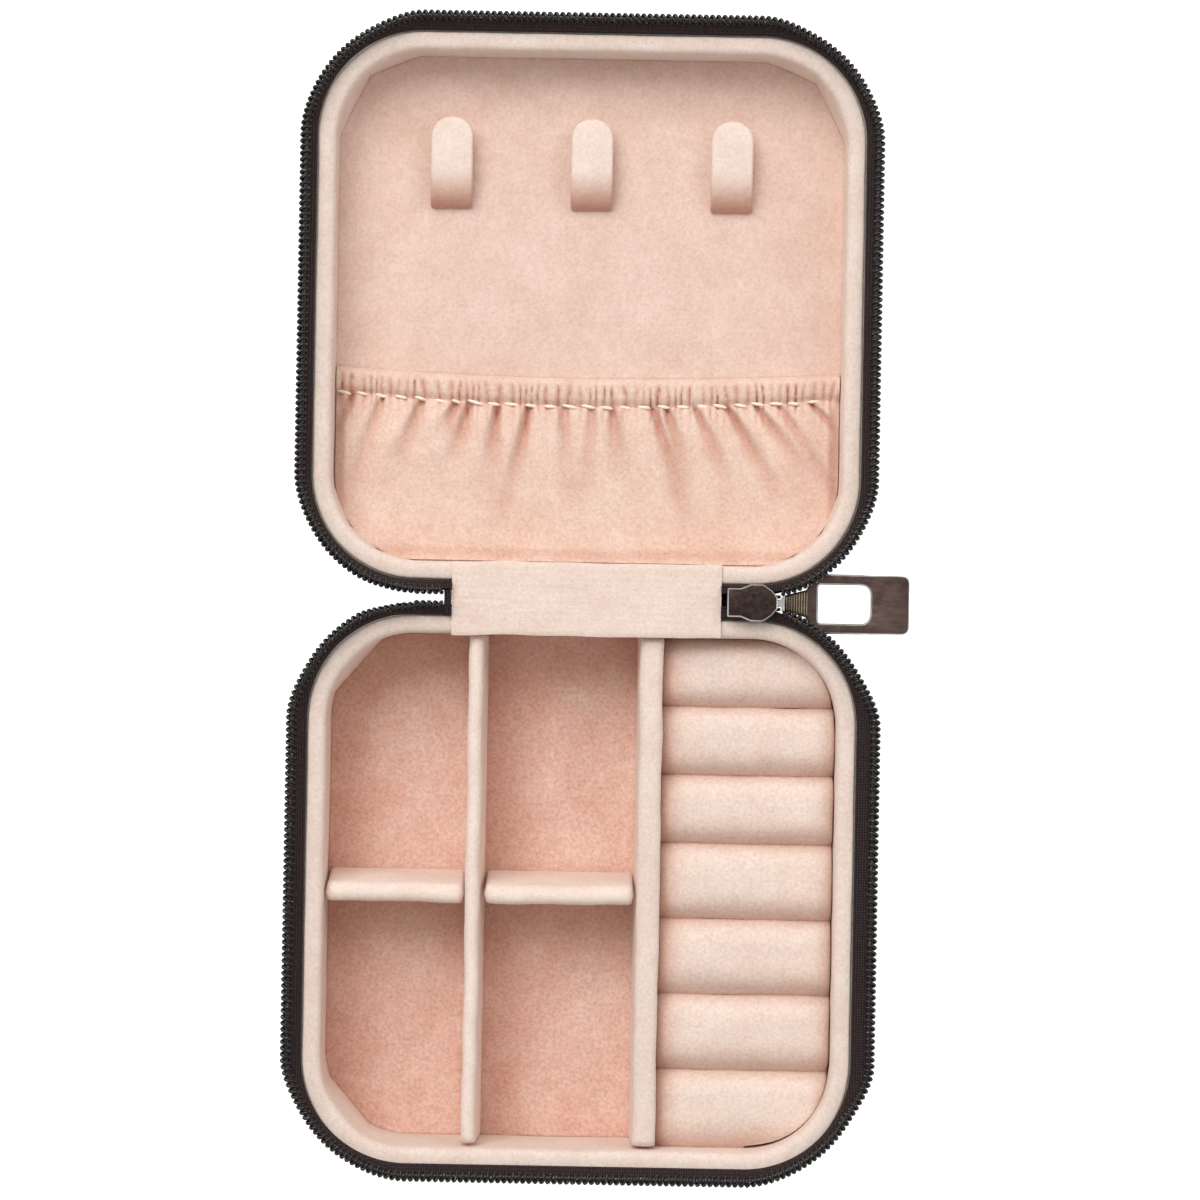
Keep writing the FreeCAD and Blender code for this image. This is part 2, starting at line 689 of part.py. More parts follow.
def make_pull():
    body = new_body("zip_pull")
    low = "pin_z - pull_thick / 2"
    barrel = sketch_on(body, "pull_barrel", "XZ_Plane", f"0 - ( {HINGE_Y} )")
    add_circle(barrel, "pin_x", "pin_z", "barrel_radius")
    pad(body, barrel, "barrel_width", both_ways=True)
    tab = sketch_on(body, "pull_tab", "XY_Plane", low)
    edge = [
        ("pin_x", "barrel_width / 2"),
        ("pin_x + barrel_radius", "barrel_width / 2"),
        ("neck_start", "neck_width / 2"),
        ("shoulder_start", "neck_width / 2"),
        ("shoulder_start", "window_width / 2 + shoulder_step"),
        ("shoulder_end", "tab_width / 2"),
        ("tab_end", "tab_width / 2"),
    ]
    right = [(x, f"{HINGE_Y} - ( {half} )") for x, half in edge]
    left = [(x, f"{HINGE_Y} + ( {half} )") for x, half in reversed(edge)]
    add_polygon(tab, right + left)
    pad(body, tab, "pull_thick")
    window = sketch_on(body, "pull_window", "XY_Plane", low)
    add_rectangle(
        window,
        "window_start",
        "window_start + window_length",
        f"{HINGE_Y} - window_width / 2",
        f"{HINGE_Y} + window_width / 2",
    )
    pocket(body, window, "pull_thick", upwards=True)
    bore = sketch_on(body, "pull_bore", "XZ_Plane", f"0 - ( {HINGE_Y} )")
    add_circle(bore, "pin_x", "pin_z", "barrel_bore")
    pocket(body, bore, "barrel_width * 2", both_ways=True)
    return body


def write_steps():
    doc.recompute()
    for thing in doc.Objects:
        if {"Invalid", "Error"} & set(thing.State):
            raise ValueError(f"{thing.Name} is not made: {thing.State}")
    for label, thing in subparts.items():
        if thing.Shape.isNull() or not thing.Shape.isValid():
            raise ValueError(f"{label} has no valid shape")
    os.makedirs("parts", exist_ok=True)
    for label, thing in subparts.items():
        thing.Shape.exportStep(f"parts/{label}.step")
        print(label, round(thing.Shape.Volume, 1), "mm3")


fill_sheet()
make_shell("base")
make_shell("lid")
make_base_interior()
make_rolls()
make_lid_interior()
make_pocket()
make_spine()
make_slider()
make_pull()
stop_end = "strip_shift - strip_length / 2 - stop_length - tail_end_gap"
slider_end = "slider_start + slider_length + tail_end_gap"
make_tail("base_zip_tail_left", "-", stop_end)
make_tail("base_zip_tail_right", "", slider_end)
make_tail("lid_zip_tail_left", "", f"0 - ( {stop_end} )", lid=True)
make_tail("lid_zip_tail_right", "-", f"0 - ( {slider_end} )", lid=True)
write_steps()
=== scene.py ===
import bpy, bmesh, math, random
from math import cos, exp, pi, radians, sin, sqrt
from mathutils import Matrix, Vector, noise


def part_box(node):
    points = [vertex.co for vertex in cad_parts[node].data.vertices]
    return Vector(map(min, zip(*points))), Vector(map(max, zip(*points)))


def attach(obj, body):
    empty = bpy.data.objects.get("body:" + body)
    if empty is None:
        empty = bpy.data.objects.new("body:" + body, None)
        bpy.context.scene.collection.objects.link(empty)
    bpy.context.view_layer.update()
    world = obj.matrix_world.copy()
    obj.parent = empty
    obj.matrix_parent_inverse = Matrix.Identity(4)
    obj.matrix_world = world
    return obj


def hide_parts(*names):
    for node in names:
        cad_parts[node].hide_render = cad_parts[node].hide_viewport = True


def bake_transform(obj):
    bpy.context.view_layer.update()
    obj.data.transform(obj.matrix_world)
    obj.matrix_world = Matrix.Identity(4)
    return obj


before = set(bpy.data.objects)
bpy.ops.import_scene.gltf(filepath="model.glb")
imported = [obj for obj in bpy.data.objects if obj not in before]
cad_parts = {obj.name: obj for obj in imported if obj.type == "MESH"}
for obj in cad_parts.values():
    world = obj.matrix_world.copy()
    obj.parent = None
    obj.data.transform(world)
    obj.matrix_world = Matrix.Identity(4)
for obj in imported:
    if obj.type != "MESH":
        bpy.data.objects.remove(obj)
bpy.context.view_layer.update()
mm = 0.001
noise.seed_set(7)     # the small unevenness comes out the same each time
print("travel jewelry case: frame loaded,", len(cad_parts), "nodes")


def boxOf(node):
    low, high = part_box(node)
    return [c / mm for c in low], [c / mm for c in high]


def middle(node, axis):
    low, high = boxOf(node)
    return (low[axis] + high[axis]) / 2


def smooth(t):
    t = max(0.0, min(1.0, t))
    return t * t * (3 - 2 * t)


def mix(a, b, t):
    return a + (b - a) * t


def wobble(x, y, z=0.0):
    return noise.noise(Vector((x, y, z)))


def paint(r, g, b):
    # a given colour, as the shader wants it
    channels = [c / 255 for c in (r, g, b)]
    return tuple(c / 12.92 if c <= 0.04045 else ((c + 0.055) / 1.055) ** 2.4 for c in channels) + (1,)


def grey(level):
    return (level, level, level, 1)


def around(count):
    # the angles of evenly spaced points on a circle
    return [2 * pi * k / count for k in range(count)]


def setInputs(node, values):
    for socket, value in values.items():
        node.inputs[socket].default_value = value


def newFinish(name, colour, roughness, metallic=0.0, specular=0.5):
    finish = bpy.data.materials.new(name)
    finish.use_nodes = True
    shader = finish.node_tree.nodes["Principled BSDF"]
    setInputs(shader, {"Base Color": colour, "Roughness": roughness, "Metallic": metallic,
                       "Specular IOR Level": specular})
    return finish, shader


def link(finish, source, socket):
    finish.node_tree.links.new(source, socket)


def addTexture(finish, kind, scale, **settings):
    # one texture laid in the object's own space, so it keeps its size on every piece
    nodes, links = finish.node_tree.nodes, finish.node_tree.links
    space = nodes.get("space") or nodes.new("ShaderNodeTexCoord")
    space.name = "space"
    texture = nodes.new("ShaderNodeTex" + kind)
    links.new(space.outputs["Object"], texture.inputs["Vector"])
    texture.inputs["Scale"].default_value = scale
    for key, value in settings.items():
        if key in texture.inputs:
            texture.inputs[key].default_value = value
        else:
            setattr(texture, key, value)
    return texture.outputs["Distance" if kind == "Voronoi" else "Fac"]


def stretch(finish, texture, sizes):
    # pulls a texture out along an axis, as a nap or a brushing runs
    nodes, links = finish.node_tree.nodes, finish.node_tree.links
    mapping = nodes.new("ShaderNodeMapping")
    mapping.inputs["Scale"].default_value = sizes
    links.new(nodes["space"].outputs["Object"], mapping.inputs["Vector"])
    links.new(mapping.outputs["Vector"], texture.node.inputs["Vector"])


def tint(finish, source, low, high, start=0.35, end=0.65):
    # turns a grey texture into a run between two colours
    ramp = finish.node_tree.nodes.new("ShaderNodeValToRGB")
    ramp.color_ramp.elements[0].position = start
    ramp.color_ramp.elements[1].position = end
    ramp.color_ramp.elements[0].color = low
    ramp.color_ramp.elements[1].color = high
    link(finish, source, ramp.inputs["Fac"])
    return ramp.outputs["Color"]


def multiply(finish, first, second, amount=1.0):
    node = finish.node_tree.nodes.new("ShaderNodeMix")
    node.data_type = "RGBA"
    node.blend_type = "MULTIPLY"
    node.inputs["Factor"].default_value = amount
    link(finish, first, node.inputs["A"])
    link(finish, second, node.inputs["B"])
    return node.outputs["Result"]


def addBumps(finish, shader, layers):
    # layers of (texture output, strength, height in mm)
    nodes, links = finish.node_tree.nodes, finish.node_tree.links
    last = None
    for source, strength, height in layers:
        bump = nodes.new("ShaderNodeBump")
        setInputs(bump, {"Strength": strength, "Distance": height * mm})
        links.new(source, bump.inputs["Height"])
        if last:
            links.new(last, bump.inputs["Normal"])
        last = bump.outputs["Normal"]
    links.new(last, shader.inputs["Normal"])


velvetTones = {
    "rim": {"light": (240, 226, 215), "deep": (234, 216, 204), "grain": 0.14},
    "floor": {"light": (244, 212, 196), "deep": (234, 189, 171), "grain": 0.28},
    "panel": {"light": (240, 215, 202), "deep": (232, 203, 188), "grain": 0.16},
    "roll": {"light": (243, 227, 215), "deep": (239, 219, 206), "grain": 0.18},
    "divider": {"light": (246, 232, 221), "deep": (239, 221, 209), "grain": 0.12},
    "pocket": {"light": (243, 219, 204), "deep": (236, 204, 186), "grain": 0.2},
    "strip": {"light": (242, 226, 214), "deep": (236, 216, 203), "grain": 0.14},
}


def makeVelvet(name):
    tone = velvetTones[name]
    finish, shader = newFinish(name + "Velvet", paint(*tone["light"]), 0.92, specular=0.18)
    setInputs(shader, {"Sheen Weight": 0.22, "Sheen Roughness": 0.45, "Sheen Tint": paint(255, 238, 228)})
    mottle = addTexture(finish, "Noise", 150, Detail=3.0, Roughness=0.6)
    nap = addTexture(finish, "Noise", 700, Detail=2.0, Roughness=0.55)
    stretch(finish, nap, (1.0, 0.55, 1.0))
    grain = addTexture(finish, "Noise", 1700, Detail=3.0, Roughness=0.75)
    colour = tint(finish, mottle, paint(*tone["deep"]), paint(*tone["light"]), 0.3, 0.7)
    napTint = tint(finish, nap, grey(0.965), grey(1.0), 0.35, 0.6)
    shade = 1 - tone["grain"]
    warmShade = (shade + 0.04, shade * 0.95, shade * 0.93, 1)
    grainTint = tint(finish, grain, warmShade, grey(1.0), 0.3, 0.62)
    colour = multiply(finish, multiply(finish, colour, napTint), grainTint)
    # painted shade: the colour is darkened where the pinch attribute marks shade, in folds and creases, along
    # compartment walls, at roll ends and at hook roots
    pinch = finish.node_tree.nodes.new("ShaderNodeAttribute")
    pinch.attribute_name = "pinch"
    paintedShadeTint = tint(finish, pinch.outputs["Fac"], grey(1.0), paint(216, 176, 162), 0.0, 1.0)
    colour = multiply(finish, colour, paintedShadeTint)
    link(finish, colour, shader.inputs["Base Color"])
    addBumps(finish, shader, [(grain, 0.4, 0.22), (nap, 0.25, 0.2)])
    return finish


def makeLeather():
    finish, shader = newFinish("blackLeather", paint(18, 16, 16), 0.55, specular=0.12)
    cells = addTexture(finish, "Voronoi", 900, feature="SMOOTH_F1", Smoothness=0.35)
    creases = addTexture(finish, "Noise", 260, Detail=6.0, Roughness=0.65)
    wear = addTexture(finish, "Noise", 60, Detail=4.0)
    shade = tint(finish, cells, paint(24, 21, 21), paint(11, 9, 9), 0.1, 0.7)
    worn = tint(finish, wear, grey(0.92), grey(1.0), 0.35, 0.6)
    link(finish, multiply(finish, shade, worn), shader.inputs["Base Color"])
    gloss = tint(finish, wear, grey(0.5), grey(0.56))
    link(finish, gloss, shader.inputs["Roughness"])
    addBumps(finish, shader, [(cells, -0.8, 0.4), (creases, 0.6, 0.35)])
    return finish


def makeTapeCloth():
    # a tight black weave, ribs along and across
    finish, shader = newFinish("zipTapeWeave", paint(46, 37, 38), 0.75, specular=0.2)
    warp = addTexture(finish, "Wave", 760, bands_direction="X", Distortion=1.2, Detail=1.0)
    weft = addTexture(finish, "Wave", 700, bands_direction="Y", Distortion=1.2, Detail=1.0)
    fuzz = addTexture(finish, "Noise", 1800, Detail=3.0)
    woven = multiply(finish, tint(finish, warp, paint(40, 30, 32), paint(68, 55, 56), 0.2, 0.8),
                     tint(finish, weft, grey(0.65), grey(1.0), 0.2, 0.8))
    woven = multiply(finish, woven, tint(finish, fuzz, grey(0.6), grey(1.0)))
    link(finish, woven, shader.inputs["Base Color"])
    addBumps(finish, shader, [(warp, 0.5, 0.12), (weft, 0.5, 0.12)])
    return finish


def makeCoilNylon():
    finish, shader = newFinish("zipCoilNylon", paint(26, 21, 21), 0.22, specular=0.45)
    dull = addTexture(finish, "Noise", 1500, Detail=2.0)
    glint = addTexture(finish, "Noise", 2600, Detail=0.0)
    colour = tint(finish, dull, paint(14, 11, 11), paint(40, 33, 33))
    # painted highlights: sparse light specks mixed into the base colour stand in for glints on the coil
    shine = finish.node_tree.nodes.new("ShaderNodeMix")
    shine.data_type = "RGBA"
    shine.inputs["B"].default_value = paint(120, 112, 110)
    paintedGlints = tint(finish, glint, grey(0.0), grey(1.0), 0.72, 0.78)
    link(finish, paintedGlints, shine.inputs["Factor"])
    link(finish, colour, shine.inputs["A"])
    link(finish, shine.outputs["Result"], shader.inputs["Base Color"])
    link(finish, tint(finish, dull, grey(0.22), grey(0.42)),
                               shader.inputs["Roughness"])
    return finish


def makeMetal(name, dark, light, roughness, patch):
    finish, shader = newFinish(name, paint(*light), roughness, metallic=1.0)
    cloud = addTexture(finish, "Noise", patch, Detail=4.0, Roughness=0.6)
    scratch = addTexture(finish, "Noise", 900, Detail=2.0)
    stretch(finish, scratch, (0.5, 1.6, 1.0))
    link(finish, tint(finish, cloud, paint(*dark), paint(*light)),
                               shader.inputs["Base Color"])
    link(finish, tint(finish, scratch, grey(roughness * 0.8), grey(roughness * 1.3)),
                               shader.inputs["Roughness"])
    addBumps(finish, shader, [(scratch, 0.05, 0.05)])
    return finish


def makePlain(name, low, high, size, roughness):
    # board edges and foam that stay inside the case
    finish, shader = newFinish(name, paint(*high), roughness, specular=0.2)
    specks = addTexture(finish, "Noise", size, Detail=5.0, Roughness=0.7)
    link(finish, tint(finish, specks, paint(*low), paint(*high)),
                               shader.inputs["Base Color"])
    addBumps(finish, shader, [(specks, 0.4, 0.1)])
    return finish


velvet = {name: makeVelvet(name) for name in velvetTones}
leather = makeLeather()
tapeCloth = makeTapeCloth()
coilNylon = makeCoilNylon()
pullMetal = makeMetal("pullGunmetal", (88, 70, 66), (118, 98, 92), 0.3, 160)
sliderMetal = makeMetal("sliderGunmetal", (58, 47, 44), (78, 65, 60), 0.38, 1400)
# polished edges whose near-white colour also paints the bright highlights along them
edgeHighlightMetal = makeMetal("polishedEdgeHighlight", (214, 208, 206), (252, 250, 250), 0.14, 300)
brassMetal = makeMetal("brassRidge", (156, 142, 118), (206, 192, 168), 0.3, 500)
threadCream = makePlain("creamThread", (246, 230, 210), (254, 246, 232), 2500, 0.8)
threadBlack = makePlain("blackThread", (24, 21, 21), (40, 36, 36), 2500, 0.7)
greyBoard = makePlain("greyBoard", (150, 144, 136), (176, 170, 162), 900, 0.9)
creamFoam = makePlain("creamFoam", (222, 206, 190), (238, 226, 212), 1200, 0.95)
print("finishes made:", len(bpy.data.materials))


def addPiece(mesh, slot, sharp, *finishes):
    mesh.shade_smooth()
    mesh.set_sharp_from_angle(angle=radians(sharp))
    for finish in finishes:
        mesh.materials.append(finish)
    piece = bpy.data.objects.new(mesh.name, mesh)
    bpy.context.scene.collection.objects.link(piece)
    return piece


def makePiece(name, points, faces, finish, slot, sharp=50):
    mesh = bpy.data.meshes.new(name)
    mesh.from_pydata([(x * mm, y * mm, z * mm) for x, y, z in points], [], faces)
    shape = bmesh.new()
    shape.from_mesh(mesh)
    bmesh.ops.remove_doubles(shape, verts=shape.verts, dist=0.002 * mm)
    bmesh.ops.recalc_face_normals(shape, faces=shape.faces)
    shape.to_mesh(mesh)
    shape.free()
    return addPiece(mesh, slot, sharp, finish)


def loft(rings, closed=True, wrap=False, caps=False):
    # skins a run of rings that all have the same number of points
    count = len(rings[0])
    points = [p for ring in rings for p in ring]
    faces = []
    for r in range(len(rings) if wrap else len(rings) - 1):
        here, there = r * count, (r + 1) % len(rings) * count
        for c in range(count if closed else count - 1):
            d = (c + 1) % count
            faces.append((here + c, here + d, there + d, there + c))
    if caps:
        faces.append(tuple(range(count)))
        faces.append(tuple(range(len(points) - count, len(points))))
    return points, faces


def join(parts):
    points, faces = [], []
    for morePoints, moreFaces in parts:
        start = len(points)
        points += morePoints
        faces += [tuple(i + start for i in face) for face in moreFaces]
    return points, faces


def skinBoth(across, rows):
    # both faces of a thin sheet whose points run row by row, the upper face first
    upper, faces = across * rows, []
    for r in range(rows - 1):
        for k in range(across - 1):
            a, e = r * across + k, (r + 1) * across + k
            b, d = a + 1, e + 1
            faces += [(a, b, d, e), (a + upper, e + upper, d + upper, b + upper)]
    return faces


def storePaintedShade(piece, rule):
    # stores how much painted shade each point of a velvet piece gets, as its pinch attribute
    pinch = piece.data.attributes.new("pinch", "FLOAT", "POINT")
    for i, vertex in enumerate(piece.data.vertices):
        x, y, z = [c / mm for c in vertex.co]
        pinch.data[i].value = max(0.0, min(1.0, rule(x, y, z)))


def soften(points, amount, size, seed=0.0):
    # the small unevenness of cloth over foam
    result = []
    for x, y, z in points:
        push = noise.noise_vector(Vector((x / size + seed, y / size, z / size)))
        result.append((x + push.x * amount, y + push.y * amount, z + push.z * amount))
    return result


def roundedSection(width, height, top, bottom, steps=7):
    # a rounded box section about its middle: top and bottom are the corner roundings
    section = []
    corners = ((1, -1, bottom, -90), (1, 1, top, 0), (-1, 1, top, 90), (-1, -1, bottom, 180))
    for side, up, radius, start in corners:
        radius = max(0.01, min(radius, width / 2 - 0.01, height / 2 - 0.01))
        for i in range(steps + 1):
            a = radians(start + 90 * i / steps)
            section.append((side * (width / 2 - radius) + radius * cos(a),
                            up * (height / 2 - radius) + radius * sin(a)))
    return section


caseShape = {
    "arcCentre": 28.5,      # every rounding of a half is struck from here
    "side": 30,             # points along a side
    "corner": 22,           # points round a corner
}
centreOf = {"base": middle("base_cover", 1), "lid": middle("lid_cover", 1)}
rimTop = boxOf("base_lining")[1][2]


def toHalf(half, x, v, z):
    # v runs from the middle of a half towards the hinge
    return (x, centreOf[half] + (v if half == "base" else -v), z)


def makeStations():
    c, stations = caseShape["arcCentre"], []
    for quarter in range(4):
        turn = quarter * pi / 2
        cs, sn = cos(turn), sin(turn)
        flat = [((c, -c + 2 * c * i / caseShape["side"]), 0.0) for i in range(caseShape["side"])]
        bend = [((c, c), pi / 2 * i / caseShape["corner"]) for i in range(caseShape["corner"])]
        for (px, pv), a in flat + bend:
            nx, nv = cos(a), sin(a)
            stations.append((px * cs - pv * sn, px * sn + pv * cs, nx * cs - nv * sn, nx * sn + nv * cs, a))
    return stations


stations = makeStations()


def facet(px, pv, angle, cuts):
    # how far a rounding of 1 is pulled in where the board is creased flat; cuts are spans in degrees
    if not cuts or angle == 0:
        return 1.0
    # roundings of quarters 0 and 2 start at a side wall, 1 and 3 end at one
    degrees = math.degrees(angle)
    if (px > 0) != (pv > 0):
        degrees = 90 - degrees
    for first, last in cuts:
        if first <= degrees <= last:
            mid, span = (first + last) / 2, (last - first) / 2
            return cos(radians(span)) / cos(radians(degrees - mid))
    return 1.0


def ringAt(half, size, z, folds=None, amount=0.0, lift=None, lap=0.0):
    # one outline of a half at a distance from its middle; folds are the creases of its corners
    c, ring = caseShape["arcCentre"], []
    for px, pv, nx, nv, angle in stations:
        if size >= c:
            radius = size - c
            corner = ("near" if pv > 0 else "far") + ("Left" if px < 0 else "Right")
            cut = facet(px, pv, angle, folds and folds[corner])
            radius *= 1 + (cut - 1) * amount
            x, v = px + nx * radius, pv + nv * radius - lap * smooth(-nv)
        else:
            x, v = px * size / c, pv * size / c
        ring.append(toHalf(half, x, v, z if lift is None else z + lift(x, v)))
    return ring


def threadRing(half, place, normal, wide, tall, count):
    # a ring round a thread at (x, v, z), its width along the normal
    (x, v, z), (nx, nv) = place, normal
    return [toHalf(half, x + nx * wide * cos(a), v + nv * wide * cos(a), z + tall * sin(a))
            for a in around(count)]


studio = {
    "cameraHeight": 950,      # above the rims
    "lens": 169,
    "aim": (2.7, 49.2),
    "roll": 1.05,
    "world": 0.52,
    "floorReach": 1.6,
    "lights": {               # place and size in metres, power, colour
        "keyLight": ((-0.62, 1.25, 1.75), 1.5, 33.0, (1.0, 0.985, 0.97)),
        "fillLight": ((1.05, 0.75, 1.15), 0.80, 4.0, (1.0, 0.98, 0.96)),
    },
    "lightsAimAt": (0.0, 0.05, 0.02),
}


def makeStudio():
    scene = bpy.context.scene
    scene.view_settings.view_transform = "Standard"
    world = bpy.data.worlds.new("studioWorld")
    scene.world = world
    world.use_nodes = True
    sky = world.node_tree.nodes["Background"]
    setInputs(sky, {"Color": (1.0, 0.985, 0.97, 1), "Strength": studio["world"]})
    floorFinish, shader = newFinish("paleFloor", (0.94, 0.94, 0.94, 1), 0.8, specular=0.2)
    specks = addTexture(floorFinish, "Noise", 40, Detail=2.0)
    link(floorFinish, tint(floorFinish, specks, grey(0.93), grey(0.95)),
                                    shader.inputs["Base Color"])
    setInputs(shader, {"Emission Color": (1, 1, 1, 1), "Emission Strength": 1.0})
    mesh = bpy.data.meshes.new("floor")
    reach = studio["floorReach"]
    corners = [(x * reach, y * reach, 0) for x, y in ((-1, -1), (1, -1), (1, 1), (-1, 1))]
    mesh.from_pydata(corners, [], [(0, 1, 2, 3)])
    mesh.materials.append(floorFinish)
    floor = bpy.data.objects.new("floor", mesh)
    floor.location.z = -0.1 * mm
    scene.collection.objects.link(floor)
    target = Vector(studio["lightsAimAt"])
    for name, (place, size, power, colour) in studio["lights"].items():
        lamp = bpy.data.lights.new(name, "AREA")
        lamp.energy, lamp.size, lamp.color = power, size, colour
        light = bpy.data.objects.new(name, lamp)
        light.location = place
        light.rotation_euler = (target - Vector(place)).to_track_quat("-Z", "Y").to_euler()
        scene.collection.objects.link(light)
    camera = bpy.data.objects.new("camera", bpy.data.cameras.new("camera"))
    camera.data.lens = studio["lens"]
    camera.data.sensor_width = 36
    camera.data.clip_start, camera.data.clip_end = 0.05, 20
    aimX, aimY = studio["aim"]
    camera.location = (aimX * mm, aimY * mm, (rimTop + studio["cameraHeight"]) * mm)
    camera.rotation_euler = (0, 0, radians(studio["roll"]))
    scene.collection.objects.link(camera)
    scene.camera = camera


makeStudio()
print("stage, lights and camera set")


cover = {
    "edge": 3.0,               # rounding at the foot
    "inside": 1.1,             # height of the leather's inner face over the floor
    # the turned lip, each point so far in from the side and down from the top
    "lip": ((1.15, 0.9), (1.05, 0.35), (0.75, 0.08), (0.4, 0.06), (0.12, 0.35), (0, 0.9), (0.02, 2),
            (0.06, 2.4), (0.02, 2.8), (0, 5)),
    "stitch": 2.1, "gap": 3.1, "thread": 0.16, "stitchDrop": 2.4,
    "stitchEnd": 26,           # the row stops this far from the middle of the hinge side
    "clearOfPull": 43.0,       # and leaves room for the pull beyond here
}


def makeCover(half):
    low, high = boxOf(half + "_cover")
    size, top, r = (high[0] - low[0]) / 2, high[2], cover["edge"]
    profile = [(size - a, top - b) for a, b in cover["lip"]]
    profile += [(size, (top + r) / 2), (size, r + 1.2), (size, r + 0.3)]
    for i in range(1, 10):
        a = pi / 2 * i / 10
        profile.append((size - r + r * cos(a), r - r * sin(a)))
    c, inside = caseShape["arcCentre"], cover["inside"]
    profile += [(size - r, 0.02)] + [(s, 0.0) for s in (size - r - 1, size - 8, c + 6, c, 20, 10, 0.0)]
    profile += [(0.0, inside), (c, inside), (size - r - 0.5, inside), (size - 1.4, 1.6), (size - 1.15, 3)]
    rings = [ringAt(half, s, z) for s, z in profile]
    points, faces = loft(rings, wrap=True)
    piece = makePiece(half + "Cover", points, faces, leather, "leather")
    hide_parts(half + "_cover")
    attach(piece, half)
    # the row of stitches that holds the zip tape, all round but the hinge
    threads, z, halfStitch = [], top - cover["stitchDrop"], cover["stitch"] / 2
    for px, pv, nx, nv, tx, tv in spaced(cover["gap"], size, -cover["stitchEnd"], cover["stitchEnd"]):
        if px > 0 and pv + nv * (size - c) > cover["clearOfPull"]:
            continue
        ring = []
        for i in range(7):
            t = i / 6 * 2 - 1
            reach = sqrt(max(0.02, 1 - t * t * 0.96))
            out = size - c - 0.02 + 0.09 * (1 - t * t)
            place = (px + nx * out + tx * t * halfStitch, pv + nv * out + tv * t * halfStitch, z)
            wide = cover["thread"] * reach
            ring.append(threadRing(half, place, (nx, nv), wide, 1.2 * wide, 6))
        threads.append(loft(ring, caps=True))
    seam = makePiece(half + "CoverSeam", *join(threads), threadBlack, "leather")
    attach(seam, half)


def walk(distance, size, startX, endX):
    # where a line round the case is after a distance, from startX on the hinge side round to endX
    c = caseShape["arcCentre"]
    bend = (size - c) * pi / 2
    runs = [(startX, c, -1, 0, 90, c + startX), (-c, c, 0, 0, 90, bend), (-c, c, 0, -1, 180, 2 * c),
            (-c, -c, 0, 0, 180, bend), (-c, -c, 1, 0, 270, 2 * c), (c, -c, 0, 0, 270, bend),
            (c, -c, 0, 1, 0, 2 * c), (c, c, 0, 0, 0, bend), (c, c, -1, 0, 90, c - endX)]
    for x, v, dx, dv, angle, length in runs:
        if distance <= length or (x, v, angle) == (c, c, 90):
            if dx == 0 and dv == 0:
                a = radians(angle + 90 * distance / length)
            else:
                a, x, v = radians(angle), x + dx * distance, v + dv * distance
            return x, v, cos(a), sin(a), -sin(a), cos(a)
        distance -= length


def walkLength(size, startX, endX):
    c = caseShape["arcCentre"]
    return (c + startX) + (c - endX) + 6 * c + 4 * (size - c) * pi / 2


def spaced(pitch, size, startX, endX):
    total = walkLength(size, startX, endX)
    count = max(2, round(total / pitch))
    return [walk(total * (i + 0.5) / count, size, startX, endX) for i in range(count)]


for half in ("base", "lid"):
    makeCover(half)
print("leather covers made")


lining = {
    # where the board is creased flat round each corner, in degrees from the side wall
    "folds": {
        "base": {"nearLeft": ((17, 65),), "nearRight": (), "farLeft": ((20, 62),), "farRight": ()},
        "lid": {"nearLeft": ((8, 36), (36, 62), (62, 86)), "nearRight": ((8, 36), (36, 62), (62, 86)),
                "farLeft": ((3, 49), (49, 86)), "farRight": ((3, 49), (49, 86))},
    },
    "frontLap": {"base": 0.8, "lid": 0.0},    # how much further out the rim lies opposite the hinge
    "wallThick": 4.9,                         # cover, board and lining together
    "softness": 0.09,
    # the rim from outside to inside: in from the outer edge, down from the top, share of the creases
    "rim": ((0.75, 0.9, 0), (0.12, 0.62, 0), (0, 0.36, 0), (0.08, 0.14, 0), (0.35, 0.03, 0), (0.9, 0, 0),
            (1.4, 0.01, 0), (1.9, 0.06, 0.03), (2.35, 0.22, 0.06)),
    # the wall below it: out from the wall's face, down from the top, share of the creases
    "wall": ((0.3, 0.5, 0.12), (0.06, 0.95, 0.18), (0, 1.6, 0.26), (-0.02, 3, 0.38), (-0.04, 6, 0.58),
             (-0.04, 11, 0.85)),
}


def makeLining(half):
    low, high = boxOf(half + "_lining")
    out, top, floor = (high[0] - low[0]) / 2, high[2], low[2]
    wall = boxOf(half + "_cover")[1][0] - lining["wallThick"]
    folds, lap = lining["folds"][half], lining["frontLap"][half]
    profile = [(out - a, top - b, f) for a, b, f in lining["rim"]]
    profile += [(wall + a, top - b, f) for a, b, f in lining["wall"]]
    profile += [(wall, floor + 3, 1), (wall, floor + 0.9, 1), (wall + 0.3, floor + 0.1, 1),
                (out - 0.8, floor + 0.1, 0), (out - 0.75, floor + 2, 0)]
    rings = [ringAt(half, s, z, folds, f, lap=lap * (1 - f)) for s, z, f in profile]
    points, faces = loft(rings, wrap=True)
    points = soften(points, lining["softness"], 7.0, 3.1 if half == "base" else 8.4)
    piece = makePiece(half + "Lining", points, faces, velvet["rim"], "velvet", 60)
    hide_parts(half + "_lining")
    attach(piece, half)


for half in ("base", "lid"):
    makeLining(half)


bed = {
    "tuck": 0.2,                                 # how far the pad's edge is pushed in under the wall
    "creaseShare": 0.95,
    "edgeFall": (-0.6, -0.35, -0.15, -0.06, -0.02),
}


